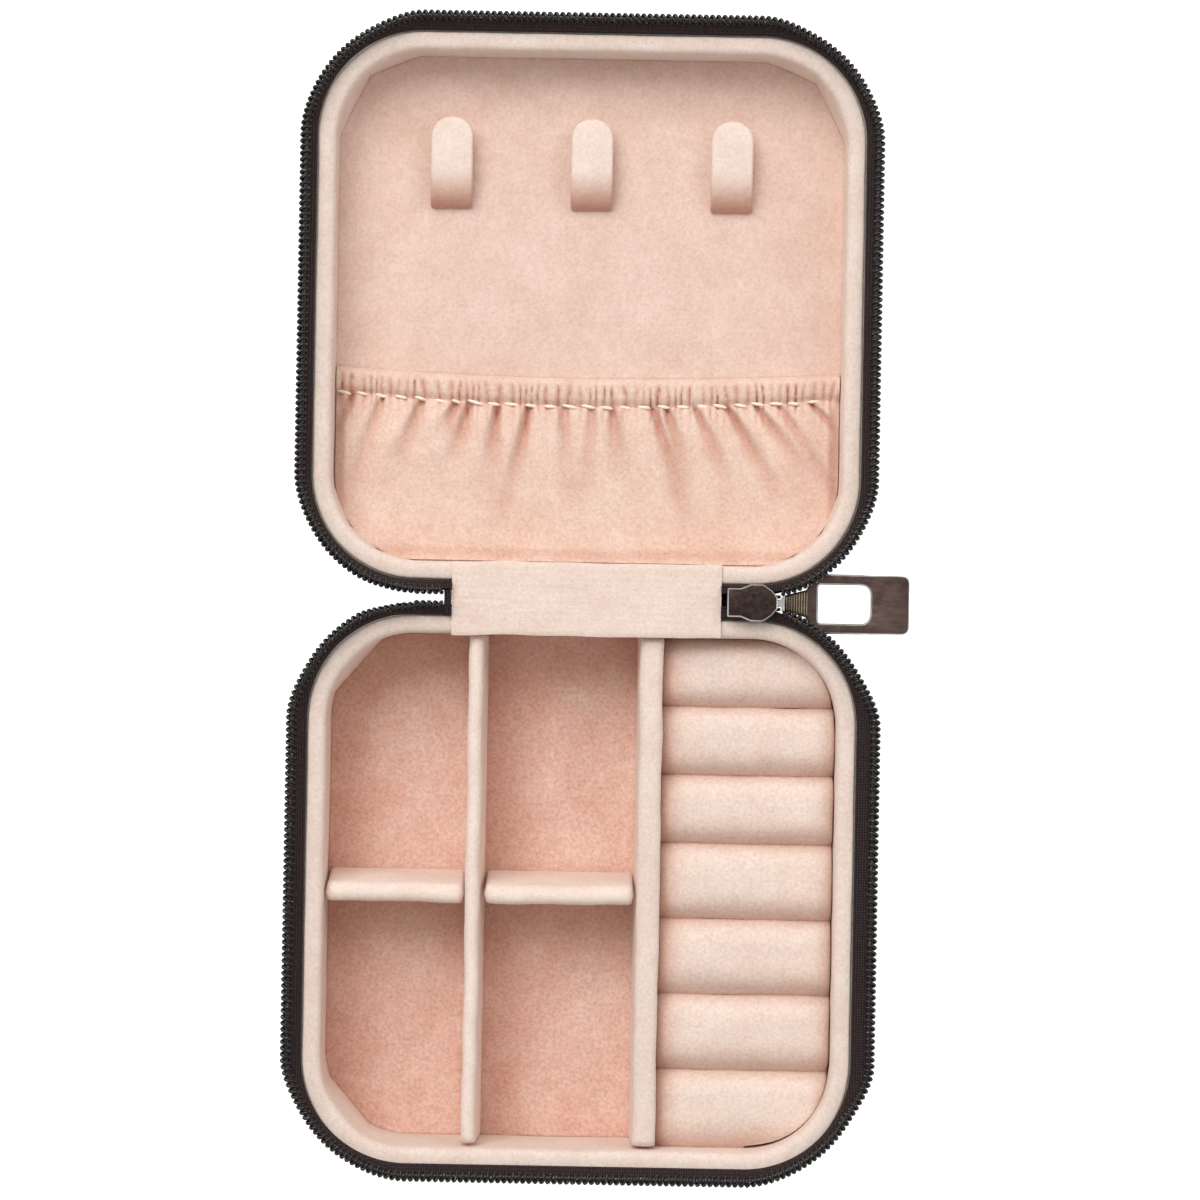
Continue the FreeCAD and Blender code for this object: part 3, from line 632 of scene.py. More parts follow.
def makeBed(name, node, half, finish, puff):
    # a thin pad that fills the well from wall to wall
    low, high = boxOf(node)
    size, top = (high[0] - low[0]) / 2 + bed["tuck"], high[2]
    folds, share, drop = lining["folds"][half], bed["creaseShare"], bed["edgeFall"]

    def lift(x, v):
        return puff * 0.35 * wobble(x * 0.12 + 4, v * 0.12) - 0.12
    sizes = [size, size - 0.02, size - 0.25, size - 0.6] + [size - 1.2 - 1.2 * i for i in range(33)] + [0.0]
    rings = [ringAt(half, size - 0.1, low[2] + 0.05, folds, share)]
    for i, s in enumerate(sizes):
        fall = drop[i] if i < len(drop) else 0
        rings.append(ringAt(half, s, top + fall, folds, share, lift if i > 2 else None))
    rings.append(ringAt(half, 0.0, low[2] + 0.05))
    points, faces = loft(rings, wrap=True)
    piece = makePiece(name, points, faces, finish, "velvet", 70)
    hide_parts(node)
    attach(piece, half)
    return piece


floorPad = makeBed("baseFloorPad", "base_floor_pad", "base", velvet["floor"], 0.5)


wellHalf = 42.5


def floorPaintedShade(x, y, z):
    # painted shade: in each compartment the floor is darkened along its left and back sides, where the walls
    # shade it, with a little random variation
    left = boxOf("long_divider")[1][0] if x > boxOf("long_divider")[0][0] else -wellHalf
    back = boxOf("cross_divider_left")[0][1] if y < 0 else wellHalf + 0.5
    side = 1 - smooth((x - left - 1.0 + 1.6 * wobble(y * 0.06, left)) / 11)
    rear = 1 - smooth((back - y - 1.0 + 1.6 * wobble(x * 0.08, back)) / 13)
    return 0.42 * max(side, 0.6 * rear) + 0.12 * wobble(x * 0.1, y * 0.1)


storePaintedShade(floorPad, floorPaintedShade)
makeBed("lidPanel", "lid_panel", "lid", velvet["panel"], 0.6)
print("velvet linings made")


crossBoard = {"body": "left_divider", "velvet": "divider", "along": 0, "edge": 1.5, "endRound": 2.4,
              "bulge": 0.3, "wave": 0.35, "lean": 1.9, "thin": 1.2, "seed": 4.0}
dividers = {
    "longDivider": {"node": "long_divider", "body": "base", "velvet": "divider", "along": 1, "edge": 1.3,
                    "endRound": 1.3, "bulge": 0.08, "wave": 0.25, "lean": 0.6, "thin": 0.4, "seed": 2.0},
    "rollDivider": {"node": "roll_divider", "body": "base", "velvet": "rim", "along": 1, "edge": 1.2,
                    "endRound": 1.2, "bulge": 0.12, "wave": 0.2, "lean": -0.5, "thin": -0.5, "seed": 9.0},
    "crossDividerLeft": dict(crossBoard, node="cross_divider_left"),
    "crossDividerRight": dict(crossBoard, node="cross_divider_right", body="right_divider", seed=6.5),
}


def endSteps(ends):
    # places that follow a rounded end closely
    return [ends * (1 - cos(pi / 2 * i / 6)) for i in range(7)]


def makeDivider(name):
    # a board wrapped in foam and velvet, its long edges rolled over and its ends rounded
    board = dividers[name]
    node, body, along, seed = [board[key] for key in ("node", "body", "along", "seed")]
    edge, ends, bulge = board["edge"], board["endRound"], board["bulge"]
    low, high = boxOf(node)
    across = 1 - along
    length, width, height = high[along] - low[along], high[across] - low[across], high[2] - low[2]
    centreLong, centreWide, centreUp = [(low[i] + high[i]) / 2 for i in (along, across, 2)]
    count = max(8, round(length / 0.9))
    places = [mix(-length / 2, length / 2, i / count) for i in range(count + 1)]
    fine = endSteps(ends)
    places = sorted({round(p, 4) for p in places if abs(p) < length / 2 - ends}
                    | {round(-length / 2 + f, 4) for f in fine} | {round(length / 2 - f, 4) for f in fine})
    rings = []
    for p in places:
        into = max(0.0, abs(p) - (length / 2 - ends)) / ends
        inset = edge * (1 - sqrt(max(0.0, 1 - into * into)))
        narrow = 0.9 * edge * smooth((into - 0.82) / 0.18)
        section = roundedSection(width - 2 * narrow - 2 * bulge - board["thin"], height - 1.2 * inset - bulge,
                                 edge * 1.15, 0.4, 6)
        ring = []
        for s, h in section:
            fat = bulge * cos(pi * h / height) * (1 if s > 0 else -1) * min(1, abs(s) / (width / 3))
            up = (h + height / 2) / height
            sway = board["wave"] * wobble(p * 0.13 + seed, 1.7) * up + board["lean"] * (0.5 - up)
            crown = bulge * 0.6 * wobble(p * 0.2, seed + 5) * up
            side = max(-width / 2, min(width / 2, s + fat)) + sway
            point = [0, 0, centreUp + h + crown - 0.6 * inset - bulge / 2]
            point[along], point[across] = centreLong + p, centreWide + side
            ring.append(tuple(point))
        rings.append(ring)
    points, faces = loft(rings, caps=True)
    points = soften(points, 0.06, 3.0, seed)
    piece = makePiece(name, points, faces, velvet[board["velvet"]], "velvet", 60)
    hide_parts(node)
    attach(piece, body)


for name in dividers:
    makeDivider(name)
print("dividers made")


rolls = {
    "count": 7, "crown": 3.2, "crownPower": 3.6, "across": 26, "endRound": 3.4, "endDrop": 2.0,
    "softness": 0.12, "step": 0.7,
    "slack": -0.09, "leftSlack": -0.25, "rightSlack": -0.45,     # below nothing, a roll presses outwards
    "frontReach": 0.9,      # the last roll bulges this far over the front
    "cornerSoftness": 1.6,
    # painted shade on the rolls: how far it reaches in from each end, and how strong it is at the ends and
    # long edges
    "shadeAcross": (5.5, 3.5), "shadeEnds": 0.6, "shadeBack": 0.55, "shadeFront": 0.62,
}


def rollSection(width, height):
    # upright sides and a pillowed top, about the section's middle
    half, count = width / 2, rolls["across"]
    section = [(-half, -height / 2), (half, -height / 2), (half, 0.0)]
    for i in range(count + 1):
        t = sin(pi * (0.5 - i / count))
        section.append((half * t, height / 2 - rolls["crown"] * abs(t) ** rolls["crownPower"]))
    return section + [(-half, 0.0)]


def heldBefore(x, limit, softness):
    # x, but bent softly so that it never passes the limit
    if x < limit - 6:
        return x
    return limit - math.log(exp(-softness * (x - limit)) + 1) / softness


def makeRoll(number):
    node = "ring_roll_%d" % number
    low, high = boxOf(node)
    left, right = low[0] + rolls["leftSlack"], high[0] - rolls["rightSlack"]
    width, height = high[1] - low[1], high[2] - low[2]
    centreY, c = (low[1] + high[1]) / 2, caseShape["arcCentre"]
    wallRound = boxOf("base_lining")[1][0] - 3.2 - c
    ends, chance = rolls["endRound"], random.Random(number)
    fine = endSteps(ends)
    count = round((right - left) / rolls["step"])
    places = sorted({round(mix(left + ends, right - ends, i / count), 4) for i in range(count + 1)}
                    | {round(left + f, 4) for f in fine} | {round(right - f, 4) for f in fine})
    rings, shift = [], chance.uniform(0, 20)
    for x in places:
        into = max(0.0, left + ends - x, x - right + ends) / ends
        # the cloth is pulled down over each end, and over the two long edges
        inset = rolls["endDrop"] * (1 - sqrt(max(0.0, 1 - into * into)))
        section = rollSection(width - 2 * rolls["slack"], height - inset)
        ring = []
        for s, h in section:
            up = (h + height / 2) / height
            y = centreY + s + 0.12 * wobble(x * 0.1, centreY * 0.3 + s * 0.02)
            if number == rolls["count"]:
                y += rolls["frontReach"] * min(0.0, 2 * s / width)
            z = low[2] + height / 2 + h - inset / 2 + 0.25 * wobble(x * 0.12 + shift, y * 0.15) * up
            reach = right
            if abs(y) > c:
                reach = c + sqrt(max(0.0, wallRound ** 2 - (abs(y) - c) ** 2)) + 0.3
            ring.append((heldBefore(x, reach, rolls["cornerSoftness"]), y, min(z, high[2] + 0.2)))
        rings.append(ring)
    points, faces = loft(rings, caps=True)
    points = soften(points, rolls["softness"], 5.0, shift)
    piece = makePiece("ringRoll%d" % number, points, faces, velvet["roll"], "velvet", 70)

    # painted shade: darker towards the left end, less towards the right end, along the back edge and over the
    # front half, where neighbours and the divider shade the roll
    def nap(x, y, z):
        down = (centreY + width / 2 - y) / width
        fromLeft, fromRight = rolls["shadeAcross"]
        atLeft, atRight = 1 - smooth((x - left) / fromLeft), 1 - smooth((right - x) / fromRight)
        atBack, atFront = 1 - smooth(down / 0.16), smooth((down - 0.5) / 0.5)
        ends = max(atLeft, rolls["shadeEnds"] * atRight)
        edges = max(rolls["shadeBack"] * atBack, rolls["shadeFront"] * atFront)
        return 0.6 * max(ends, edges) + 0.2 * min(ends, edges)
    storePaintedShade(piece, nap)
    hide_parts(node)
    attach(piece, "base")


for number in range(1, rolls["count"] + 1):
    makeRoll(number)
print("ring rolls made")


hook = {"thick": 1.35, "tip": 3.6, "rise": 6.0, "shadeLength": 7.5}


def makeHook(number):
    node = "hook_%d" % number
    low, high = boxOf(node)
    x, width = (low[0] + high[0]) / 2, (high[0] - low[0]) - 0.1
    thick, top = hook["thick"], high[2] - hook["thick"] / 2 - 0.05
    start, end, foot = low[1] + thick / 2 + 0.05, high[1] - 0.05, low[2] - 0.5
    path = [(start - 0.1, foot), (start - 0.1, foot + 0.8)]
    # the leg leans over into the flat of the hook in one soft bend
    for i in range(1, 11):
        t = i / 10
        climb = sin(pi / 2 * t) ** 0.9
        path.append((start + hook["rise"] * t ** 1.6, mix(foot + 0.8, top, climb)))
    flat = end - (start + hook["rise"])
    for i in range(1, 20):
        t = sin(pi / 2 * i / 19)
        path.append((start + hook["rise"] + flat * t, top - 0.12 * t * t))
    rings = []
    for i, (y, z) in enumerate(path):
        before, after = path[max(0, i - 1)], path[min(len(path) - 1, i + 1)]
        along = Vector((after[0] - before[0], after[1] - before[1])).normalized()
        left = end - y
        halfWidth = width / 2
        if left < hook["tip"]:
            halfWidth = width / 2 * sqrt(max(0.0, 1 - (1 - left / hook["tip"]) ** 2.2))
        t = thick * (1 if left > 0.6 else max(0.12, sqrt(max(0, 1 - (1 - left / 0.6) ** 2))))
        section = roundedSection(max(0.3, halfWidth * 2), t, 0.5, 0.5, 4)
        rings.append([(x + s, y - along.y * h, z + along.x * h) for s, h in section])
    points, faces = loft(rings, caps=True)
    points = soften(points, 0.04, 2.5, number)
    piece = makePiece("hook%d" % number, points, faces, velvet["divider"], "velvet", 60)
    # painted shade: the leg darkens towards its root, where it bends away from the light
    storePaintedShade(piece, lambda x, y, z: 0.95 * (1 - smooth((y - low[1]) / hook["shadeLength"])))
    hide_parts(node)
    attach(piece, "lid")


for number in (1, 2, 3):
    makeHook(number)
print("hooks made")


pocket = {
    "across": 360, "down": 100,
    "topEnds": 10.1, "topMiddle": 11.5,        # the open edge sags
    "seamEnds": 14.5, "seamMiddle": 16.4,      # so does the stitch line
    "pleat": 1.5, "pleatDepth": 0.8, "tuck": 0.55,
    "folds": 17, "foldPitch": 4.8, "foldDepth": 1.7, "foldShortest": 7.0, "foldLongest": 25.0,
    "fanLeft": 0.010, "fanRight": 0.022,
    "puff": 1.3, "cloth": 0.35, "foot": 42.9,
    "stitchFrom": -41.5, "stitchTo": 41.5,
    "stitch": 2.5, "stitchPitch": 3.2, "thread": 0.3, "slant": 0.14,
}


def makeFolds():
    # each fold starts at the stitching and fans out to its side as it runs down the cloth
    chance, folds = random.Random(31), []
    for i in range(pocket["folds"]):
        x = (i - (pocket["folds"] - 1) / 2) * pocket["foldPitch"] + chance.uniform(-1.6, 1.6)
        slope = x * (pocket["fanRight"] if x > 0 else pocket["fanLeft"]) + chance.uniform(-0.05, 0.1)
        long = mix(pocket["foldShortest"], pocket["foldLongest"], chance.random() ** 1.1)
        folds.append((x, slope, long, chance.uniform(0.55, 1.0), chance.uniform(-0.4, 0.4)))
    return folds


folds = makeFolds()


def sagOf(x, ends, mid):
    return mix(mid, ends, min(1.0, (x / 42.0) ** 2))


def pleatAt(x, v):
    # the close gathers of the header: 0 on a ridge, 1 in a valley
    w = x / pocket["pleat"] + 1.3 * wobble(x * 0.2, 3.3) + 0.3 * wobble(x * 0.5, v * 0.3)
    deep = 0.65 + 0.9 * wobble(math.floor(w) * 0.77, 9.1)
    return (1 - abs(sin(pi * w)) ** 0.6) * max(0.25, deep)


def foldsAt(x, v, seam):
    # height of the long folds at a place below the stitching, and the painted shade (pinch) of their valleys
    height, pinch, down = 0.0, 0.0, v - seam
    for start, slope, long, deep, curl in folds:
        if down > long:
            continue
        t = down / long
        away = x - start - slope * down - curl * down * t * 0.3
        wide = mix(0.5, 2.1, t)
        if abs(away) > 5 * wide:
            continue
        fade = deep * (1 - t) ** 0.75 * smooth(down / 0.5 + 0.4)
        valley = exp(-(away / wide) ** 2)
        ridge = exp(-((away - math.copysign(1.9, start) * wide) / (1.4 * wide)) ** 2)
        height += fade * (0.5 * ridge - valley)
        pinch += fade * valley
    return height * pocket["foldDepth"], min(1.0, pinch)


def pocketShape(x, v):
    # how far the cloth stands off the panel, and how much painted shade its gathers and fold valleys get
    # there
    top = sagOf(x, pocket["topEnds"], pocket["topMiddle"])
    seam = sagOf(x, pocket["seamEnds"], pocket["seamMiddle"])
    pleat = pleatAt(x, v)
    if v < seam:
        q = (v - top) / (seam - top)
        gather = pleat * smooth((q - 0.14) / 0.3)
        body = 1.35 + 0.55 * max(0.0, sin(pi * min(1, q * 1.05))) ** 0.8
        body -= pocket["tuck"] * smooth((q - 0.7) / 0.3)
        return body * smooth(q / 0.16) ** 0.5 - pocket["pleatDepth"] * gather + 0.15, min(1.0, 1.3 * gather)
    t = min(1.0, (v - seam) / (pocket["foot"] - seam))
    small = pleat * exp(-t * 11)
    fold, pinch = foldsAt(x, v, seam)
    puffed = 1.0 + pocket["puff"] * sin(pi * min(1.0, t * 1.02) ** 0.62)
    puffed += 0.35 * wobble(x * 0.06, v * 0.07, 4.0)
    edge = smooth((1 - t) / 0.10) * smooth((43.0 - abs(x)) / 2.2)
    height = 0.15 + (puffed + fold * (1 - t) - pocket["pleatDepth"] * small) * mix(0.25, 1.0, edge)
    return max(0.0, height), min(1.0, 0.8 * pinch + 0.9 * small)


def makePocket():
    panelTop = boxOf("lid_panel")[1][2]
    c, wallRound = caseShape["arcCentre"], boxOf("lid_lining")[1][0] - 3.25 - caseShape["arcCentre"]
    grid = []
    for r in range(pocket["down"] + 1):
        t = r / pocket["down"]
        row = []
        for k in range(pocket["across"] + 1):
            u = k / pocket["across"] * 2 - 1
            x = u * (c + wallRound)
            v = mix(sagOf(x, pocket["topEnds"], pocket["topMiddle"]) - 0.02, pocket["foot"] - 0.1, t ** 0.92)
            if v > c:
                x = u * (c + sqrt(max(0.0, wallRound ** 2 - (v - c) ** 2)))
            row.append((x, v, panelTop - 0.1 + pocketShape(x, v)[0]))
        grid.append(row)
    across, rows = pocket["across"] + 1, pocket["down"] + 1
    points = [toHalf("lid", x, v, z) for row in grid for x, v, z in row]
    for r, row in enumerate(grid):
        for k, (x, v, z) in enumerate(row):
            edge = r in (0, rows - 1) or k in (0, across - 1)
            points.append(toHalf("lid", x, v, z - (0.0 if edge else pocket["cloth"])))
    cloth = makePiece("pocketCloth", points, skinBoth(across, rows), velvet["pocket"], "velvet", 80)
    # painted shade in the valleys of the folds and the gathers of the header
    storePaintedShade(cloth, lambda x, y, z: pocketShape(x, centreOf["lid"] - y)[1])
    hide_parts("pocket_cloth", "pocket_header")
    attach(cloth, "lid")
    # running stitches in cream thread
    chance, threads = random.Random(12), []
    x = pocket["stitchFrom"]
    while x < pocket["stitchTo"]:
        long = pocket["stitch"] * chance.uniform(0.85, 1.1)
        turn = pocket["slant"] + chance.uniform(-0.1, 0.1)
        lift, ring = chance.uniform(-0.12, 0.12), []
        for i in range(9):
            t = i / 8 * 2 - 1
            px = x + long / 2 * t
            pv = sagOf(px, pocket["seamEnds"], pocket["seamMiddle"]) + turn * long / 2 * t + lift
            pz = panelTop + pocketShape(x, pv)[0] + 0.35 * (1 - t * t) + 0.1
            thin = sqrt(max(0.03, 1 - t * t * 0.97))
            wide = pocket["thread"] * thin
            ring.append(threadRing("lid", (px, pv, pz), (0, 1), wide, wide, 8))
        threads.append(loft(ring, caps=True))
        x += pocket["stitchPitch"] * chance.uniform(0.93, 1.07)
    seam = makePiece("pocketStitches", *join(threads), threadCream, "velvet")
    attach(seam, "lid")


makePocket()
print("pocket gathered and stitched")


zipShape = {
    "tapeSection": [(46.35, 21.72), (46.5, 22.15), (46.95, 22.75), (47.55, 23.3), (48.3, 23.7), (48.75, 23.8),
                    (48.8, 23.5), (48.3, 23.3), (47.75, 22.8), (47.3, 22.2), (47.1, 21.72)],
    "tapeSize": 48.5, "step": 0.8,
    "tapeX": (-22.4, 23.1), "coilX": (-23.9, 33.6),      # where each begins and ends beside the hinge
    "pitch": 1.05, "wire": 0.26, "head": 0.13, "cord": 0.42,
    "coilAt": (49.0, 24.1), "coilReach": (0.66, 0.42),
    "sink": 0.72,      # the coils run lower where they enter the slider
    "leftEdge": {"base": 48.3, "lid": 49.2}, "rightEdge": {"base": 49.3, "lid": 49.3},
    "drawLeft": {"base": 0.2, "lid": 0.8}, "drawRight": {"base": -0.35, "lid": 0.65},
    "drawCorner": 1.35, "drawFront": {"base": 0.75, "lid": 0.35},
}


def squeezed(half, x, v):
    # beside the hinge both zips lie close together between the rims
    if v <= 46:
        return v
    edge = zipShape["leftEdge" if x < 0 else "rightEdge"][half]
    narrow = mix(1.0, (edge - 46) / 4.0, smooth((41.5 - abs(x)) / 8))
    return 46 + (v - 46) * narrow


def drawnIn(half, station):
    # the zip stands up more steeply round the corners and along the front, where it is pulled in
    nx, nv = station[2:4]
    corner = smooth(2 * abs(nx * nv))
    side = zipShape["drawLeft" if nx < 0 else "drawRight"][half]
    front = zipShape["drawFront"][half]
    straight = side * nx * nx + (front if nv < 0 else side) * nv * nv
    return mix(straight, zipShape["drawCorner"], corner)


def zipPoint(half, station, out, z):
    px, pv, nx, nv = station[:4]
    out -= drawnIn(half, station) * smooth((out - 46.2) / 2.2)
    x, v = px + nx * (out - caseShape["arcCentre"]), pv + nv * (out - caseShape["arcCentre"])
    if z > 23.0:
        z -= zipShape["sink"] * smooth((v - 45.5) / 2) * smooth((x - 16) / 5)
    return toHalf(half, x, squeezed(half, x, v), z)


def makeZipSide(half):
    size, tapeEnds, coilEnds = zipShape["tapeSize"], zipShape["tapeX"], zipShape["coilX"]
    total = walkLength(size, *tapeEnds)
    count = round(total / zipShape["step"])
    rings = []
    for i in range(count + 1):
        station = walk(total * i / count, size, *tapeEnds)
        rings.append([zipPoint(half, station, out, z) for out, z in zipShape["tapeSection"]])
    tape = makePiece(half + "ZipTape", *loft(rings, caps=True), tapeCloth, "tape", 60)
    tails = ["%s_zip_tail_%s" % (half, side) for side in ("left", "right")]
    tails = [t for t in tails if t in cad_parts]
    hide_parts(half + "_zip_tape", *tails)
    # the coil is one wire wound round a cord, its bends the teeth
    (out, up), (reachOut, reachUp) = zipShape["coilAt"], zipShape["coilReach"]
    span = walkLength(out, *coilEnds)
    turns, steps = round(span / zipShape["pitch"]), 12

    def coilPoint(i):
        a = 2 * pi * i / steps
        station = walk(min(span, max(0.0, span * i / (turns * steps) + 0.12 * sin(a))), out, *coilEnds)
        return Vector(zipPoint(half, station, out + reachOut * cos(a), up + reachUp * sin(a)))
    line = [coilPoint(i) for i in range(turns * steps + 1)]
    rings = []
    for i, point in enumerate(line):
        along = (line[min(len(line) - 1, i + 1)] - line[max(0, i - 1)]).normalized()
        side = along.cross(Vector((0.13, 0.21, 0.97))).normalized()
        other = along.cross(side)
        thick = zipShape["wire"] + zipShape["head"] * max(0.0, cos(2 * pi * i / steps)) ** 3
        rings.append([tuple(point + (side * cos(a) + other * sin(a)) * thick)
                      for a in around(6)])
    cord, count = [], round(span / zipShape["step"])
    for i in range(count + 1):
        station = walk(span * i / count, out, *coilEnds)
        cord.append([zipPoint(half, station, out - 0.05 + zipShape["cord"] * cos(a), up + 0.3 * sin(a))
                     for a in around(6)])
    wound = join([loft(rings, caps=True), loft(cord, caps=True)])
    coil = makePiece(half + "ZipCoil", *wound, coilNylon, "coil", 80)
    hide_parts(half + "_zip_coil")
    for piece in (tape, coil):
        if half == "base":
            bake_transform(piece)
        else:
            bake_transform(piece)


for half in ("base", "lid"):
    makeZipSide(half)
print("zip tapes and coils wound")


strip = {"across": 90, "down": 36, "thick": 0.55, "ripple": 0.12, "rib": 0.06, "fray": 0.12, "rightTrim": 0.6}


def makeStripHalf(name, nodes, half):
    low, high = boxOf("hinge_strip")
    left, right, top = low[0], high[0] - strip["rightTrim"], high[2]
    outer = boxOf("base_strip_lap")[0][1] if half == "base" else boxOf("lid_strip_lap")[1][1]
    seam = (low[1] + high[1]) / 2
    grid = []
    for r in range(strip["down"] + 1):
        t = r / strip["down"]
        row = []
        for k in range(strip["across"] + 1):
            u = k / strip["across"]
            x = mix(left, right, u)
            y = mix(outer + 0.35 * wobble(x * 0.12, 6.0), seam, t)
            x += strip["fray"] * wobble(y * 1.7, 2.0 + u) * (1 if u in (0, 1) else 0)
            edge = min(1.0, t * 6)
            z = top - 0.1 + strip["ripple"] * wobble(x * 0.08, y * 0.3) - 0.25 * (1 - edge) ** 2
            z += strip["rib"] * wobble(x * 0.09, y * 1.6 + 0.9 * wobble(x * 0.12, y * 0.4)) * smooth(t * 2)
            z -= 0.12 * (1 - smooth(min(u, 1 - u) * 22))
            row.append((x, y, z))
        grid.append(row)
    across, rows = strip["across"] + 1, strip["down"] + 1
    points = [p for row in grid for p in row]
    upper = len(points)
    points += [(x, y, z - strip["thick"]) for row in grid for x, y, z in row]
    faces = skinBoth(across, rows)
    rim = list(range(across)) + [r * across + across - 1 for r in range(1, rows)]
    rim += [(rows - 1) * across + k for k in range(across - 2, -1, -1)]
    rim += [r * across for r in range(rows - 2, 0, -1)]
    for a, b in zip(rim, rim[1:] + rim[:1]):
        faces.append((a, b, b + upper, a + upper))
    piece = makePiece(name, points, faces, velvet["strip"], "velvet", 45)
    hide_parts(*nodes)
    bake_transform(piece)
    return piece


lower = makeStripHalf("hingeStripBase", ["hinge_strip", "base_strip_lap"], "base")
upper = makeStripHalf("hingeStripLid", ["lid_strip_lap"], "lid")


spineLeather = {
    "fromX": -21.6, "toX": 24.7, "steps": 40, "thick": 0.55,
    # out from the cover's edge and up from the ground
    "drop": ((-0.35, 16.5), (0.12, 17.5), (0.14, 18.6), (0.2, 19.6), (0.45, 20.4), (0.8, 20.75)),
    "middle": (20.25, 20.85),     # under and upper side where the two halves meet
}


def makeSpineLeather(name, half):
    # leather folded down between the halves, from a cover's edge to the bottom of the fold
    low, high = boxOf("hinge_leather")
    edge = boxOf("base_cover")[1][1] if half == "base" else boxOf("lid_cover")[0][1]
    mid, sign = (low[1] + high[1]) / 2, 1 if half == "base" else -1
    under, over = spineLeather["middle"]
    profile = [(edge + sign * a, z) for a, z in spineLeather["drop"]] + [(mid, over)]
    rows, steps = [], spineLeather["steps"]
    for x in [mix(spineLeather["fromX"], spineLeather["toX"], i / steps) for i in range(steps + 1)]:
        outer = [(x, y, z + 0.08 * wobble(x * 0.2, y)) for y, z in profile]
        inner = [(x, y + sign * 0.25, z - spineLeather["thick"]) for y, z in reversed(profile)]
        inner[0] = (x, mid, under)
        rows.append(outer + inner)
    piece = makePiece(name, *loft(rows, caps=True), leather, "leather", 60)
    if half == "base":
        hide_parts("hinge_leather")
    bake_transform(piece)
    return piece


makeSpineLeather("spineLeatherBase", "base")
makeSpineLeather("spineLeatherLid", "lid")


zipStop = {"fromY": 46.6, "toY": 51.8, "steps": 14, "waist": 0.22,
           "outer": ((-23.75, 22.6), (-23.6, 23.25)), "inner": ((-23.1, 23.45), (-22.5, 23.3), (-22.3, 22.5))}


def makeZipStop():
    rows = []
    for i in range(zipStop["steps"] + 1):
        t = i / zipStop["steps"]
        y, pinch = mix(zipStop["fromY"], zipStop["toY"], t), zipStop["waist"] * cos(pi * (t * 2 - 1) / 2)
        rows.append([(x + pinch, y, z) for x, z in zipStop["outer"]]
                    + [(x, y, z) for x, z in zipStop["inner"]])
    piece = makePiece("zipEndStop", *loft(rows, caps=True), tapeCloth, "tape", 60)
    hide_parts("zip_end_stop")
    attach(piece, "spine")


makeZipStop()
print("hinge strip, spine leather and zip stop made")


def makePlate(name, outline, holes, low, high, edge, finish, edgeFinish, extra=(), dullTo=-100.0):
    # a flat stamping with its edges broken and polished; the broken edges take the near-white edge metal, a
    # painted highlight, all but those left of dullTo
    shape = bmesh.new()

    def loop(line, z):
        return [shape.verts.new((x * mm, y * mm, z * mm)) for x, y in line]
    sides = [(loop(line, high), loop(line, low)) for line in [outline] + list(holes)]
    for upper, lower in sides:
        for i in range(len(upper)):
            j = (i + 1) % len(upper)
            shape.faces.new((upper[i], upper[j], lower[j], lower[i]))
    for which in (0, 1):
        rings = [side[which] for side in sides]
        edges = [shape.edges.get(pair) for ring in rings for pair in zip(ring, ring[1:] + ring[:1])]
        bmesh.ops.triangle_fill(shape, use_beauty=True, use_dissolve=True, edges=edges)
    shape.faces.ensure_lookup_table()
    bmesh.ops.recalc_face_normals(shape, faces=shape.faces)
    rims = [e for e in shape.edges if len(e.link_faces) == 2
            and abs(e.link_faces[0].normal.z - e.link_faces[1].normal.z) > 0.7]
    bmesh.ops.bevel(shape, geom=rims, offset=edge * mm, segments=3, profile=0.6, affect="EDGES", material=1)
    for face in shape.faces:
        if face.calc_center_median().x < dullTo * mm:
            face.material_index = 0
    for morePoints, moreFaces in extra:
        verts = [shape.verts.new((x * mm, y * mm, z * mm)) for x, y, z in morePoints]
        for face in moreFaces:
            shape.faces.new([verts[i] for i in face])
    bmesh.ops.recalc_face_normals(shape, faces=shape.faces)
    mesh = bpy.data.meshes.new(name)
    shape.to_mesh(mesh)
    shape.free()
    return addPiece(mesh, "metal", 28, finish, edgeFinish)


def roundCorners(corners, steps=6):
    # corners are (x, y, rounding)
    line = []
    for i, (x, y, r) in enumerate(corners):
        before, after = Vector(corners[i - 1][:2]), Vector(corners[(i + 1) % len(corners)][:2])
        here = Vector((x, y))
        if r <= 0:
            line.append((x, y))
            continue
        a, b = (before - here).normalized(), (after - here).normalized()
        angle = a.angle(b)
        reach = min(r / math.tan(angle / 2), (before - here).length * 0.49, (after - here).length * 0.49)
        start, end = here + a * reach, here + b * reach
        for k in range(steps + 1):
            t = k / steps
            point = start * (1 - t) ** 2 + here * 2 * t * (1 - t) + end * t * t
            line.append((point.x, point.y))
    return line


def bar(x0, x1, y0, y1, z0, z1, r):
    # a short rounded bar along Y
    section = roundedSection(x1 - x0, z1 - z0, r, r, 4)
    rings = []
    ends = ((0, 0.7), (0.12, 0.95), (0.25, 1))
    for y, shrink in [(y0 + d, f) for d, f in ends] + [(y1 - d, f) for d, f in reversed(ends)]:
        rings.append([((x0 + x1) / 2 + s * shrink, y, (z0 + z1) / 2 + h * shrink) for s, h in section])
    return loft(rings, caps=True)


